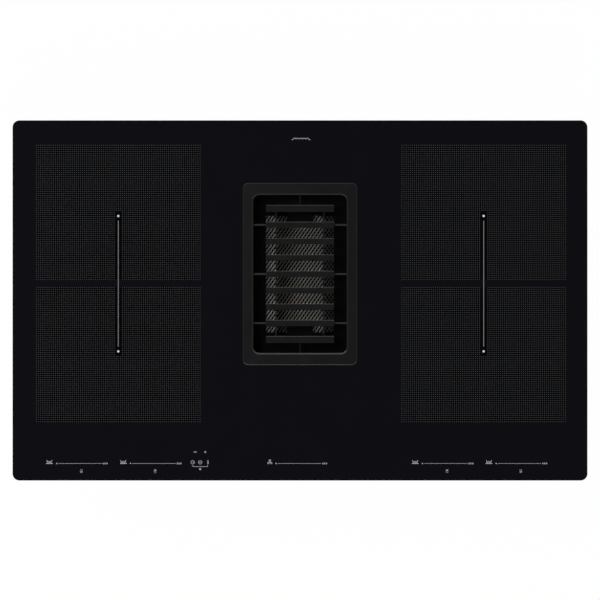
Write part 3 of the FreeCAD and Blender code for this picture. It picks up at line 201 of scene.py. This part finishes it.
def make_glass_ceramic():
    # Black glass ceramic, rolled and polished: a deep mirror black with the faintest wiping marks. Its ground
    # edges are dark and matt, and have a black metal's low reflectance, because a ground edge lets light in
    # and keeps it.
    material, tree, shader, place, normal = new_material("glass_ceramic", {"IOR": 1.52})
    smear = add_node(tree, "ShaderNodeTexNoise", {"Vector": place, "Scale": 1 / (60 * MM), "Detail": 4})
    facing = add_node(tree, "ShaderNodeSeparateXYZ", {"Vector": normal})
    edge = add_node(tree, "ShaderNodeMapRange",
                    {"Value": facing.outputs["Z"], "From Min": FLAT_FACING,
                     "From Max": EDGE_FACING}).outputs["Result"]
    body = drift(tree, shader, smear.outputs["Fac"], "#0e0d12", "#100f14", edge, 0.07, 0.6)
    blend = add_node(tree, "ShaderNodeMix",
                     {"Factor": edge, MIX_FIRST: body, MIX_SECOND: colour("#040404")}, data_type="RGBA")
    set_inputs(tree, shader, {"Metallic": edge, "Base Color": blend.outputs[MIX_RESULT]})
    return material


def make_print(name, dark, light, grain_mm, roughness):
    # Ceramic enamel, screen printed and fired into the glass: one flat tone, slightly uneven. The fine lines
    # of the zones melt in and shine almost as the glass does, and the thicker marks stay duller.
    material, tree, shader, place, _ = new_material(name, {"IOR": 1.5})
    grain = add_node(tree, "ShaderNodeTexNoise",
                     {"Vector": place, "Scale": 1 / (grain_mm * MM), "Detail": 3}).outputs["Fac"]
    drift(tree, shader, grain, dark, light, grain, roughness, roughness)
    return material


def make_black_coat(name, dark, light, bevel_highlight, shade_span, front_bar_only=False):
    # Black powder coat on cast aluminium: fine orange peel and a soft sheen, with slightly paler worn
    # patches.
    # Below the given heights it darkens to near black, which is painted shade deeper in the mouth. Bevels
    # that face the back get a paler tint, which is a painted highlight, or, on the rim, both bevels of the
    # front bar.
    material, tree, shader, place, normal = new_material(name, {"IOR": 1.5})
    peel = add_node(tree, "ShaderNodeTexNoise", {"Vector": place, "Scale": 1 / (0.8 * MM), "Detail": 2})
    wear = add_node(tree, "ShaderNodeTexNoise",
                    {"Vector": place, "Scale": 1 / (25 * MM), "Detail": 4}).outputs["Fac"]
    spot = add_node(tree, "ShaderNodeSeparateXYZ", {"Vector": place})
    facing = add_node(tree, "ShaderNodeSeparateXYZ", {"Vector": normal})
    slope = add_node(tree, "ShaderNodeMath", {0: facing.outputs["Y"], 1: facing.outputs["Z"]},
                     operation="MULTIPLY")
    reach = 1.0
    if front_bar_only:
        slope = add_node(tree, "ShaderNodeMath", {0: slope.outputs[0]}, operation="ABSOLUTE")
        reach = add_node(tree, "ShaderNodeMapRange",
                         {"Value": spot.outputs["Y"], "From Min": FRONT_BAR_Y,
                          "From Max": FRONT_BAR_Y - FRONT_BAR_FADE}).outputs["Result"]
    # Painted highlight: bevels that face the back, or both bevels of the front bar, take the paler tint
    bevel = add_node(tree, "ShaderNodeMapRange",
                     {"Value": slope.outputs[0], "From Min": NO_BEVEL, "From Max": FULL_BEVEL,
                      "To Max": reach})
    # Painted shade: the coat turns near black below the top of the shade span
    clean = add_node(tree, "ShaderNodeMapRange",
                     {"Value": spot.outputs["Z"], "From Min": shade_span[0], "From Max": shade_span[1]})
    top = drift(tree, shader, wear, dark, light, wear, 0.22, 0.28)
    edges = add_node(tree, "ShaderNodeMix",
                     {"Factor": bevel.outputs["Result"], MIX_FIRST: top, MIX_SECOND: colour(bevel_highlight)},
                     data_type="RGBA")
    blend = add_node(tree, "ShaderNodeMix",
                     {"Factor": clean.outputs["Result"], MIX_FIRST: colour("#020202"),
                      MIX_SECOND: edges.outputs[MIX_RESULT]}, data_type="RGBA")
    relief = add_node(tree, "ShaderNodeBump",
                      {"Height": peel.outputs["Fac"], "Strength": 0.15, "Distance": 0.1 * MM})
    set_inputs(tree, shader, {"Base Color": blend.outputs[MIX_RESULT], "Normal": relief.outputs["Normal"]})
    return material


def make_stretched_sheet():
    # Stretched aluminium sheet: dull silver strands, drawn a little rough. The strands that rise to the rear
    # right stay pale; those that cross them are greyer as painted shade, and the strip beyond the right-hand
    # web is greyer as a painted shadow.
    material, tree, shader, place, normal = new_material("stretched_aluminium", {"Metallic": 1.0})
    film = add_node(tree, "ShaderNodeTexNoise",
                    {"Vector": place, "Scale": 1 / (6 * MM), "Detail": 3}).outputs["Fac"]
    spot = add_node(tree, "ShaderNodeSeparateXYZ", {"Vector": place})
    facing = add_node(tree, "ShaderNodeSeparateXYZ", {"Vector": normal})
    crossing = add_node(tree, "ShaderNodeMath", {0: facing.outputs["X"], 1: facing.outputs["Y"]},
                        operation="MULTIPLY")
    # Painted shade: the run of strands that faces front right takes the greyer colour
    run_shade = add_node(tree, "ShaderNodeMapRange",
                      {"Value": crossing.outputs[0], "From Min": -RUN_SIDE, "From Max": RUN_SIDE})
    # Painted shadow: the strip beyond the right-hand web takes a greyer tone
    beyond = add_node(tree, "ShaderNodeMapRange",
                      {"Value": spot.outputs["X"], "From Min": WEB_X - STRIP_SHADOW_FADE, "From Max": WEB_X})
    bare = drift(tree, shader, beyond.outputs["Result"], "#e8e8e2", "#8e8e8a", film, 0.34, 0.44)
    blend = add_node(tree, "ShaderNodeMix",
                     {"Factor": run_shade.outputs["Result"], MIX_FIRST: bare, MIX_SECOND: colour("#868682")},
                     data_type="RGBA")
    set_inputs(tree, shader, {"Base Color": blend.outputs[MIX_RESULT]})
    return material


def make_galvanised():
    # Hot dip galvanised sheet: overlapping zinc crystals, each a slightly different grey and polish.
    material, tree, shader, place, _ = new_material("galvanised_sheet", {"Metallic": 1.0})
    spangle = add_node(tree, "ShaderNodeTexVoronoi", {"Vector": place, "Scale": 1 / (9 * MM)})
    grey = add_node(tree, "ShaderNodeSeparateColor", {"Color": spangle.outputs["Color"]})
    drift(tree, shader, grey.outputs["Red"], "#a9adb0", "#c3c6c8", grey.outputs["Green"], 0.34, 0.5)
    return material


def make_moulded(name, dark, light, rough, specular=0.5):
    # A moulded, pressed or enamelled skin: the even fine grain of an eroded mould or a fired coat, which
    # dulls its shine.
    material, tree, shader, place, _ = new_material(name, {"IOR": 1.49, "Specular IOR Level": specular})
    grain = add_node(tree, "ShaderNodeTexNoise", {"Vector": place, "Scale": 1 / (0.7 * MM), "Detail": 2})
    cloud = add_node(tree, "ShaderNodeTexNoise",
                     {"Vector": place, "Scale": 1 / (40 * MM), "Detail": 2}).outputs["Fac"]
    drift(tree, shader, cloud, dark, light, cloud, rough - SKIN_DRIFT, rough + SKIN_DRIFT)
    relief = add_node(tree, "ShaderNodeBump",
                      {"Height": grain.outputs["Fac"], "Strength": 0.12, "Distance": 0.1 * MM})
    set_inputs(tree, shader, {"Normal": relief.outputs["Normal"]})
    return material


def make_metal(name, dark, light, low, high, grain_mm=3):
    # Turned, rolled or drawn metal: its tone and polish vary a little along the surface.
    material, tree, shader, place, _ = new_material(name, {"Metallic": 1.0})
    grain = add_node(tree, "ShaderNodeTexNoise",
                     {"Vector": place, "Scale": 1 / (grain_mm * MM), "Detail": 3}).outputs["Fac"]
    drift(tree, shader, grain, dark, light, grain, low, high)
    return material


glass_ceramic = make_glass_ceramic()

# Prints: the zones' nearly black ground, their dark lines and paler crossings, and the bright marks
ground_print = make_print("zone_print_ground", "#010102", "#030304", 8, 0.08)
zone_print = make_print("zone_print_lines", "#0c0c0e", "#101012", 8, 0.08)
crossing_print = make_print("zone_print_crossings", "#49494c", "#4f4f52", 8, 0.08)
bridge_print = make_print("bridge_print", "#727275", "#7a7a7d", 2, 0.25)
symbol_print = make_print("symbol_print", "#b4b4b8", "#c2c2c6", 2, 0.25)
dot_print = make_print("dot_print", "#d8d8da", "#e6e6e8", 2, 0.25)
line_print = make_print("line_print", "#a4a4a8", "#b0b0b4", 2, 0.25)

# The grille's coat: black, with a paler tint on the slats' rear bevels and on the rim's front bar as painted
# highlight, and a paler grey all over the arms as painted highlight
black_coat = make_black_coat("black_powder_coat", "#0e0e0e", "#111111", "#111111", MOUTH_SHADE)
rim_coat = make_black_coat("rim_coat", "#0e0e0e", "#111111", "#454545", MOUTH_SHADE, front_bar_only=True)
slat_coat = make_black_coat("slat_coat", "#0e0e0e", "#111111", "#454545", MOUTH_SHADE)
# Painted highlight: the arms' coat is a paler grey all over
arm_highlight_coat = make_black_coat("arm_highlight_coat", "#2a2a2a", "#303030", "#303030", ARM_SHADE)

stretched_sheet = make_stretched_sheet()
galvanised = make_galvanised()

# Glass filled polypropylene, moulded: a dull black or mid grey skin; the duct and tray in the mouth are made
# nearly black and dull, as painted shade. Black enamel, fired on the steel of the filter's frame: nearly
# black, with a half gloss.
black_moulding = make_moulded("black_polypropylene", "#111112", "#161617", 0.5)
grey_moulding = make_moulded("grey_polypropylene", "#5b5d5f", "#66686a", 0.5)
# Painted shade: the duct and tray deep in the mouth are nearly black and dull
mouth_shade_moulding = make_moulded("mouth_shade_moulding", "#030303", "#050505", 0.6, specular=0.05)
handle_moulding = make_moulded("handle_moulding", "#040404", "#060606", 0.5, specular=0.06)
black_enamel = make_moulded("black_enamel", "#030303", "#050505", 0.35, specular=0.06)

# Silicone rubber, pressed: soft and dull. Solder mask on glass fibre: green with a half gloss. Sintered
# ferrite: dark grey and dull. Pressed mica: pale, brownish and dull. Cast resin of the capacitors: ochre.
# Red acrylic over the displays: dark red.
silicone = make_moulded("black_silicone", "#1b1b1c", "#222223", 0.7)
circuit_board = make_moulded("solder_mask", "#0d4425", "#115230", 0.4)
ferrite = make_moulded("sintered_ferrite", "#202123", "#292a2c", 0.6)
mica = make_moulded("pressed_mica", "#a89f8c", "#bbb29f", 0.6)
capacitor_resin = make_moulded("capacitor_resin", "#9c7a1e", "#ab8829", 0.4)
red_filter = make_moulded("red_display_filter", "#3c0507", "#4a080a", 0.25)

# Zinc plated, turned and rolled metals: bright grey with a satin polish. Enamelled copper wire: red brown.
zinc_plate = make_metal("zinc_plated_steel", "#b2b3b0", "#c8c9c6", 0.22, 0.36)
motor_steel = make_metal("turned_steel", "#8a8b8d", "#a5a6a8", 0.25, 0.4)
aluminium = make_metal("mill_aluminium", "#b9bbbd", "#cfd1d3", 0.3, 0.45)
copper = make_metal("enamelled_copper", "#8c4322", "#a85730", 0.3, 0.4, grain_mm=1)

slot_finishes = {
    "ceramic_glass": glass_ceramic, "rubber_seal": silicone, "galvanised_sheet": galvanised,
    "black_cast": black_coat, "black_plastic": black_moulding, "grey_plastic": grey_moulding,
    "steel_mesh": stretched_sheet, "filter_steel": black_enamel, "motor_steel": motor_steel,
    "copper_litz": copper, "ferrite": ferrite, "mica": mica, "aluminium": aluminium,
    "circuit_board": circuit_board, "component_black": black_moulding,
    "capacitor_box": capacitor_resin, "screw_steel": zinc_plate, "clear_red_plastic": red_filter,
}
own_finishes = {
    "filter_handles": handle_moulding, "grille_frame": rim_coat, "slat_grid": slat_coat,
    "grille_arms": arm_highlight_coat, "suction_duct": mouth_shade_moulding, "spill_tray": mouth_shade_moulding,
}
for subpart in frame["record"]["subparts"]:
    node = frame["nodes"][subpart["node"]]
    node.data.materials.clear()
    node.data.materials.append(own_finishes.get(subpart["node"], slot_finishes[subpart["material_slot"]]))


# Printed cooking zones: a lattice of fine lines, bare round the mark that joins the two zones of a side

PRINT_HEIGHT = 0.02 * MM
GROUND_HEIGHT = PRINT_HEIGHT / 2
ROW_HEIGHT = 2 * PRINT_HEIGHT
MARK_HEIGHT = 3 * PRINT_HEIGHT
LINE_PITCH = 3.026 * MM
LINE_WIDTH = 1.0 * MM
COLUMNS = 79
ROWS = 65
ZONE_Y = (127.15 * MM, -78.1 * MM)
BRIDGE_X = (-262.3 * MM, 265.15 * MM)
BRIDGE_ENDS = (-66.6 * MM, 115.0 * MM)
BRIDGE_WIDTH = 1.25 * MM
DOT_OFFSET = 6.9 * MM
DOT_RADIUS = 1.65 * MM
HALO = 3.4 * MM
HALO_END = 5.5 * MM


def bare_runs(place, low, high, centre, line_low, line_high):
    """The parts of a line between low and high that keep clear of the bare strip round the bridge mark."""
    if not line_low < place < line_high:
        return [(low, high)]
    return [(start, end) for start, end in ((low, centre[0]), (centre[1], high)) if end > start]


def make_zone_lattice(name, centre_x, centre_y):
    """Lines, the paler squares where they cross, and the darker ground between them."""
    half_line = LINE_WIDTH / 2
    half_x = (COLUMNS - 1) / 2 * LINE_PITCH
    half_y = (ROWS - 1) / 2 * LINE_PITCH
    columns = [centre_x - half_x + number * LINE_PITCH for number in range(COLUMNS)]
    rows = [centre_y - half_y + number * LINE_PITCH for number in range(ROWS)]
    bare_x = (centre_x - HALO, centre_x + HALO)
    bare_y = (BRIDGE_ENDS[0] - DOT_OFFSET - HALO_END, BRIDGE_ENDS[1] + DOT_OFFSET + HALO_END)

    ground = bmesh.new()
    add_block(ground, (columns[0], rows[0], GLASS_TOP), (columns[-1], rows[-1], GLASS_TOP + GROUND_HEIGHT))
    finish_piece(new_piece(name + "_ground", "root", ground_print), ground)

    lattice = bmesh.new()
    for x in columns:
        for low, high in bare_runs(x, rows[0], rows[-1], bare_y, *bare_x):
            add_block(lattice, (x - half_line, low, GLASS_TOP),
                      (x + half_line, high, GLASS_TOP + PRINT_HEIGHT))
    for y in rows:
        for low, high in bare_runs(y, columns[0], columns[-1], bare_x, *bare_y):
            add_block(lattice, (low, y - half_line, GLASS_TOP),
                      (high, y + half_line, GLASS_TOP + ROW_HEIGHT))
    finish_piece(new_piece(name, "root", zone_print), lattice)

    crossings = bmesh.new()
    add_block(crossings, (columns[0] - half_line, rows[0] - half_line, GLASS_TOP),
              (columns[0] + half_line, rows[0] + half_line, GLASS_TOP + MARK_HEIGHT))
    for steps, stride in ((COLUMNS - 1, (LINE_PITCH, 0, 0)), (ROWS - 1, (0, LINE_PITCH, 0))):
        bmesh.ops.spin(crossings, geom=crossings.verts[:] + crossings.edges[:] + crossings.faces[:],
                       axis=(0, 0, 1), dvec=stride, steps=steps, use_duplicate=True)
    bare = [vert for vert in crossings.verts
            if bare_x[0] < vert.co.x < bare_x[1] and bare_y[0] < vert.co.y < bare_y[1]]
    bmesh.ops.delete(crossings, geom=bare, context="VERTS")
    finish_piece(new_piece(name + "_crossings", "root", crossing_print), crossings)


def make_bridge_mark(name, x):
    """The line that joins the rear and the front zone of one side."""
    bm = bmesh.new()
    add_block(bm, (x - BRIDGE_WIDTH / 2, BRIDGE_ENDS[0], GLASS_TOP),
              (x + BRIDGE_WIDTH / 2, BRIDGE_ENDS[1], GLASS_TOP + MARK_HEIGHT))
    finish_piece(new_piece(name, "root", bridge_print), bm)


def make_bridge_dots(name, x):
    """A dot beyond each end of the line."""
    bm = bmesh.new()
    for y in (BRIDGE_ENDS[0] - DOT_OFFSET, BRIDGE_ENDS[1] + DOT_OFFSET):
        add_disc(bm, (x, y, GLASS_TOP), DOT_RADIUS, MARK_HEIGHT)
    finish_piece(new_piece(name, "root", dot_print), bm)


for side_name, x in zip(("left", "right"), BRIDGE_X):
    for end_name, y in zip(("rear", "front"), ZONE_Y):
        make_zone_lattice(f"zone_print_{side_name}_{end_name}", x, y)
    make_bridge_mark(f"bridge_mark_{side_name}", x)
    make_bridge_dots(f"bridge_dots_{side_name}", x)


# Printed control marks along the front edge, in millimetres on the glass

SLIDER_Y = -235.35
SLIDER_LENGTH = 62.5
SLIDER_STARTS = (-348.7, -242.1, 179.3, 285.7)
SLIDER_LINE = 0.5
SLIDER_DOT_BEFORE = 2.5
SLIDER_DOT_RADIUS = 0.9
PAN_BEFORE = 13.0
CELL_OFFSET = 33.0
CELL_Y = -246.3
CELL_FILLED = (-1, 1, 1, -1)
FAN_SLIDER_START = -32.0
FAN_BEFORE = 11.6
FAN_RAISE = 2.0
TIMER = (-144.1, -233.7)
COIL = (1.4, 232.0)

# Signs, each as strokes round its own centre: a width, then the points
CHEVRON = ((1.0, (0, 0.9), (1.6, 0), (0, -0.9)),)
CHEVRON_OFFSETS = (64.3, 66.9, 69.5)
PAN_BASE = (0.95, (-4.8, 0), (4.8, 0))
PAN_WALL = (0.6, (-3.5, 2.9), (-3.0, 1.4), (3.0, 1.4), (3.5, 2.9))
PAN_LID = (0.6, (-3.5, 2.9), (3.5, 2.9))
PAN_GRIPS = tuple((0.7, (side * 3.3, 3.2), (side * 3.9, 4.8)) for side in SIDES)
PAN = (PAN_BASE, PAN_WALL, PAN_LID, *PAN_GRIPS)
CELL_FRAME = (0.3, (-1.4, -2.2), (1.4, -2.2), (1.4, 2.2), (-1.4, 2.2), (-1.4, -2.2))
CELL_BAR = (0.3, (-1.4, 0), (1.4, 0))
CELL = (CELL_FRAME, CELL_BAR)
CELL_FILLING = ((1.1, (-0.9, 0), (0.9, 0)),)
CELL_FILLING_RAISE = 1.1
TIMER_MINUS = (1.0, (-9.3, 14.9), (-5.3, 14.9))
TIMER_PLUS_ACROSS = (0.9, (5.7, 14.9), (8.9, 14.9))
TIMER_PLUS_UP = (0.9, (7.3, 13.3), (7.3, 16.5))
TIMER_HAND = (0.6, (-10.8, 0), (-9.3, 0))
TIMER_DASH = (0.8, (-1.0, 0), (1.0, 0))
TIMER_WINDOW = (0.5, (10.6, 2.5), (11.8, 2.5), (11.8, -2.3), (10.6, -2.3), (10.6, 2.5))
TIMER_BRACKET = (0.55, (-10.8, -3.9), (-10.8, -6.1), (10.6, -6.1), (10.6, -3.9))
TIMER_LOCK = (1.6, (-1.3, -9.9), (1.3, -9.9))
TIMER_LINES = (TIMER_MINUS, TIMER_PLUS_ACROSS, TIMER_PLUS_UP, TIMER_HAND, TIMER_DASH, TIMER_WINDOW,
               TIMER_BRACKET, TIMER_LOCK)
TIMER_DIALS = (-10.8, 0)
TIMER_DIAL_RADIUS = 2.5
TIMER_DIAL_LINE = 0.6
LOCK_BOW_DROP = 9.1
LOCK_BOW_RADIUS = 0.9
LOCK_BOW_LINE = 0.4
FAN_LOBES = (90, 210, 330)
FAN_LOBE_DISTANCE = 2.5
FAN_LOBE_RADIUS = 1.0
FAN_LOBE_LINE = 0.9
FAN_HUB_RADIUS = 0.9
COIL_TURNS = 5
COIL_RADIUS = 2.3
COIL_LINE = 0.8
COIL_TAILS = tuple((COIL_LINE, (side * 11.5, 0), (side * 13.6, 0)) for side in SIDES)


class Marks:
    """Strokes of one printed colour, drawn in millimetres on the glass."""

    def __init__(self, name, material):
        self.piece = new_piece(name, "root", material)
        self.bm = bmesh.new()

    def draw(self, strokes, x, y):
        """Strokes round a centre."""
        for width, *points in strokes:
            for start, end in zip(points, points[1:]):
                add_stroke(self.bm, ((x + start[0]) * MM, (y + start[1]) * MM, 0),
                           ((x + end[0]) * MM, (y + end[1]) * MM, 0), width * MM,
                           GLASS_TOP, GLASS_TOP + MARK_HEIGHT)

    def dot(self, x, y, radius):
        add_disc(self.bm, (x * MM, y * MM, GLASS_TOP), radius * MM, MARK_HEIGHT)

    def arc(self, x, y, radius, width, end=360, steps=24):
        """A round stroke about a centre, from the right and on through the rear."""
        turns = [math.radians(end * step / steps) for step in range(steps + 1)]
        self.draw([(width, *[(radius * math.cos(turn), radius * math.sin(turn)) for turn in turns])], x, y)

    def finish(self):
        finish_piece(self.piece, self.bm)


def draw_fan(marks, x, y):
    """Three lobes round a hub."""
    for lobe in FAN_LOBES:
        way = math.radians(lobe)
        marks.arc(x + FAN_LOBE_DISTANCE * math.cos(way), y + FAN_LOBE_DISTANCE * math.sin(way),
                  FAN_LOBE_RADIUS, FAN_LOBE_LINE, steps=16)
    marks.dot(x, y, FAN_HUB_RADIUS)


def draw_slider(marks, fine, start):
    """A dot, a fine line and three chevrons after it."""
    marks.dot(start - SLIDER_DOT_BEFORE, SLIDER_Y, SLIDER_DOT_RADIUS)
    fine.draw([(SLIDER_LINE, (0, 0), (SLIDER_LENGTH, 0))], start, SLIDER_Y)
    for offset in CHEVRON_OFFSETS:
        marks.draw(CHEVRON, start + offset, SLIDER_Y)


def draw_cells(marks, x, y, filled):
    """A zone pair seen from above, with one of its two cells filled."""
    marks.draw(CELL, x, y)
    marks.draw(CELL_FILLING, x, y + filled * CELL_FILLING_RAISE)


def draw_timer(marks, x, y):
    """Two dials and a window over a bracket, a minus and a plus behind them, and a lock in front."""
    marks.draw(TIMER_LINES, x, y)
    for offset in TIMER_DIALS:
        marks.arc(x + offset, y, TIMER_DIAL_RADIUS, TIMER_DIAL_LINE)
    marks.arc(x, y - LOCK_BOW_DROP, LOCK_BOW_RADIUS, LOCK_BOW_LINE, end=180, steps=10)


def draw_coil_mark(marks, x, y):
    """A row of loops at the back, the plain sign of a wound coil."""
    for number in range(COIL_TURNS):
        offset = (number - (COIL_TURNS - 1) / 2) * 2 * COIL_RADIUS
        marks.arc(x + offset, y, COIL_RADIUS, COIL_LINE, end=180, steps=12)
    marks.draw(COIL_TAILS, x, y)


signs = Marks("control_signs", symbol_print)
lines = Marks("slider_lines", line_print)
for start, filled in zip(SLIDER_STARTS, CELL_FILLED):
    signs.draw(PAN, start - PAN_BEFORE, SLIDER_Y)
    draw_slider(signs, lines, start)
    draw_cells(signs, start + CELL_OFFSET, CELL_Y, filled)
draw_fan(signs, FAN_SLIDER_START - FAN_BEFORE, SLIDER_Y + FAN_RAISE)
draw_slider(signs, lines, FAN_SLIDER_START)
draw_timer(signs, *TIMER)
draw_coil_mark(signs, *COIL)
signs.finish()
lines.finish()


# Grille and grease filter: the webs under the grille's two rails, and a finely stretched sheet in place
# of the coarse one

WEB_WIDTH = 1.6 * MM
WEB_LENGTH = 182 * MM
WEB_GAP = 1.0 * MM
MESH_PITCH = 5.3 * MM
MESH_STRETCH = math.sqrt(2)
MESH_STRAND = 1.9 * MM
MESH_FLATNESS = 0.5


def make_grille_webs():
    """Two thin deep webs, from under the slats almost to the filter, that lead the air straight down."""
    piece = new_piece("grille_webs", "grille", black_coat)
    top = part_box("slat_grid")[0].z
    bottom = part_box("filter_frame")[1].z + WEB_GAP
    bm = bmesh.new()
    for side in SIDES:
        add_block(bm, (side * WEB_X - WEB_WIDTH / 2, VENT_Y - WEB_LENGTH / 2, bottom),
                  (side * WEB_X + WEB_WIDTH / 2, VENT_Y + WEB_LENGTH / 2, top))
    finish_piece(piece, bm)


def make_fine_mesh():
    """Flat diamond strands: a grid turned to stand on its corners, stretched, and cut to the filter."""
    piece = new_piece("filter_fine_mesh", "grease_filter", stretched_sheet)
    low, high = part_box("filter_mesh")
    half = (high - low) / 2
    bm = bmesh.new()
    cells = int(2 * max(half) * MESH_STRETCH / MESH_PITCH) + 2
    bmesh.ops.create_grid(bm, x_segments=cells, y_segments=cells, size=cells * MESH_PITCH / 2)
    bm.transform(Matrix.Diagonal((1 / MESH_STRETCH, 1, 1, 1)) @ Matrix.Rotation(math.radians(45), 4, "Z"))
    for normal in ((1, 0, 0), (-1, 0, 0), (0, 1, 0), (0, -1, 0)):
        bmesh.ops.bisect_plane(bm, geom=bm.verts[:] + bm.edges[:] + bm.faces[:], clear_outer=True,
                               plane_co=[part * side for part, side in zip(half, normal)], plane_no=normal)
    bmesh.ops.wireframe(bm, faces=bm.faces[:], thickness=MESH_STRAND, use_replace=True, use_boundary=True)
    bm.transform(Matrix.Translation((low + high) / 2) @ Matrix.Diagonal((1, 1, MESH_FLATNESS, 1)))
    finish_piece(piece, bm)
    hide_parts("filter_mesh")


make_grille_webs()
make_fine_mesh()


# Stage: a pale floor, a pale studio round it with a dark ceiling, and large soft lamps

FLOOR_SIDE = 40.0
FLOOR_GAP = 0.5 * MM

# The share of the floor's look that is plain white; the rest takes the object's shadow
FLOOR_GLOW = 0.98

# The studio's light by its direction: an axis, a stretch of it, and the levels at the stretch's two ends
STUDIO_LEVELS = {
    "rear": ("Y", 0.2, 0.9, 0.0, 0.7), "front": ("Y", -0.2, -0.9, 0.0, 0.5),
    "right": ("X", 0.3, 0.9, 0.0, 0.6), "low": ("Z", 0.2, 0.45, 1.0, 0.0),
    "left": ("X", -0.6, 0.6, 0.42, 0.0), "below_ceiling": ("Z", 0.45, 0.8, 1.0, 0.0),
}
# How the levels are put together: the low band at the rear, front and right, and the high wall at the left
STUDIO_STEPS = (
    ("sides", "rear", "ADD", "front"), ("sides", "sides", "ADD", "right"),
    ("band", "sides", "MULTIPLY", "low"), ("wall", "left", "MULTIPLY", "below_ceiling"),
    ("walls", "band", "ADD", "wall"),
)

# The level that all directions have, and the ceiling alone
CEILING = 0.026

# Soft lamps: azimuth from the front and elevation in degrees, side in metres and power in watts
LAMPS = {"left_softbox": (-110, 54, 4.0, 265), "front_softbox": (20, 50, 4.4, 122)}
LAMP_DISTANCE = 6.4

CAMERA_HEIGHT = 6.0
CAMERA_REACH = 100
SENSOR = 36.0


def make_floor():
    """A floor that the eye sees as white, with the object's shadow on it."""
    mesh = bpy.data.meshes.new("floor")
    floor = bpy.data.objects.new("floor", mesh)
    bpy.context.scene.collection.objects.link(floor)
    bm = bmesh.new()
    bmesh.ops.create_grid(bm, x_segments=1, y_segments=1, size=FLOOR_SIDE / 2,
                          matrix=Matrix.Translation((0, 0, cad_low.z - FLOOR_GAP)))
    bm.to_mesh(mesh)
    bm.free()
    material = bpy.data.materials.new("floor_paint")
    material.use_nodes = True
    tree = material.node_tree
    tree.nodes.clear()
    seen = add_node(tree, "ShaderNodeLightPath")
    rays = seen.outputs["Is Camera Ray"]
    for other in ("Is Glossy Ray", "Is Transmission Ray"):
        rays = add_node(tree, "ShaderNodeMath", {0: rays, 1: seen.outputs[other]},
                        operation="MAXIMUM").outputs[0]
    share = add_node(tree, "ShaderNodeMath", {0: rays, 1: FLOOR_GLOW}, operation="MULTIPLY")
    paint = add_node(tree, "ShaderNodeBsdfDiffuse", {"Color": colour("#fcfcfc")})
    white = add_node(tree, "ShaderNodeEmission", {"Color": WHITE, "Strength": 1.0})
    mix = add_node(tree, "ShaderNodeMixShader",
                   {0: share.outputs[0], 1: paint.outputs[0], 2: white.outputs[0]})
    add_node(tree, "ShaderNodeOutputMaterial", {"Surface": mix.outputs[0]})
    mesh.materials.append(material)


def make_studio():
    """A backdrop that is white to the eye, and lights the object from the sides and hardly from above."""
    world = bpy.data.worlds.new("studio")
    bpy.context.scene.world = world
    world.use_nodes = True
    tree = world.node_tree
    tree.nodes.clear()
    place = add_node(tree, "ShaderNodeTexCoord").outputs["Generated"]
    way = add_node(tree, "ShaderNodeSeparateXYZ", {"Vector": place})
    levels = {}
    for name, (axis, low, high, to_low, to_high) in STUDIO_LEVELS.items():
        levels[name] = add_node(tree, "ShaderNodeMapRange",
                                {"Value": way.outputs[axis], "From Min": low, "From Max": high,
                                 "To Min": to_low, "To Max": to_high},
                                interpolation_type="SMOOTHSTEP").outputs["Result"]
    for name, first, operation, second in STUDIO_STEPS:
        levels[name] = add_node(tree, "ShaderNodeMath", {0: levels[first], 1: levels[second]},
                                operation=operation).outputs[0]
    level = add_node(tree, "ShaderNodeMath", {0: levels["walls"], 1: CEILING}, operation="ADD").outputs[0]
    shade = add_node(tree, "ShaderNodeCombineColor", {"Red": level, "Green": level, "Blue": level})
    seen = add_node(tree, "ShaderNodeLightPath")
    view = add_node(tree, "ShaderNodeMix",
                    {"Factor": seen.outputs["Is Camera Ray"], MIX_FIRST: shade.outputs["Color"],
                     MIX_SECOND: WHITE}, data_type="RGBA")
    back = add_node(tree, "ShaderNodeBackground", {"Color": view.outputs[MIX_RESULT], "Strength": 1.0})
    add_node(tree, "ShaderNodeOutputWorld", {"Surface": back.outputs[0]})


def add_lamp(name, azimuth, elevation, size, watts):
    """A square soft lamp that looks at the glass."""
    lamp = bpy.data.lights.new(name, "AREA")
    lamp.size = size
    lamp.energy = watts
    holder = bpy.data.objects.new(name, lamp)
    bpy.context.scene.collection.objects.link(holder)
    turn, rise = math.radians(azimuth), math.radians(elevation)
    way = Vector((math.sin(turn) * math.cos(rise), -math.cos(turn) * math.cos(rise), math.sin(rise)))
    holder.location = way * LAMP_DISTANCE
    holder.rotation_euler = way.to_track_quat("Z", "Y").to_euler()


def make_camera():
    """A camera straight above the glass that frames it as the photograph does."""
    camera = bpy.data.cameras.new("camera")
    holder = bpy.data.objects.new("camera", camera)
    bpy.context.scene.collection.objects.link(holder)
    half_picture = PICTURE_SIDE / 2 * PIXEL
    camera.sensor_width = SENSOR
    camera.lens = SENSOR / 2 * (CAMERA_HEIGHT - GLASS_TOP) / half_picture
    camera.clip_end = CAMERA_REACH
    holder.location = (0, (PICTURE_CENTRE_ROW - PICTURE_SIDE / 2) * PIXEL, CAMERA_HEIGHT)
    bpy.context.scene.camera = holder


make_floor()
make_studio()
for name, (azimuth, elevation, size, watts) in LAMPS.items():
    add_lamp(name, azimuth, elevation, size, watts)
make_camera()
bpy.context.scene.view_settings.view_transform = "Standard"
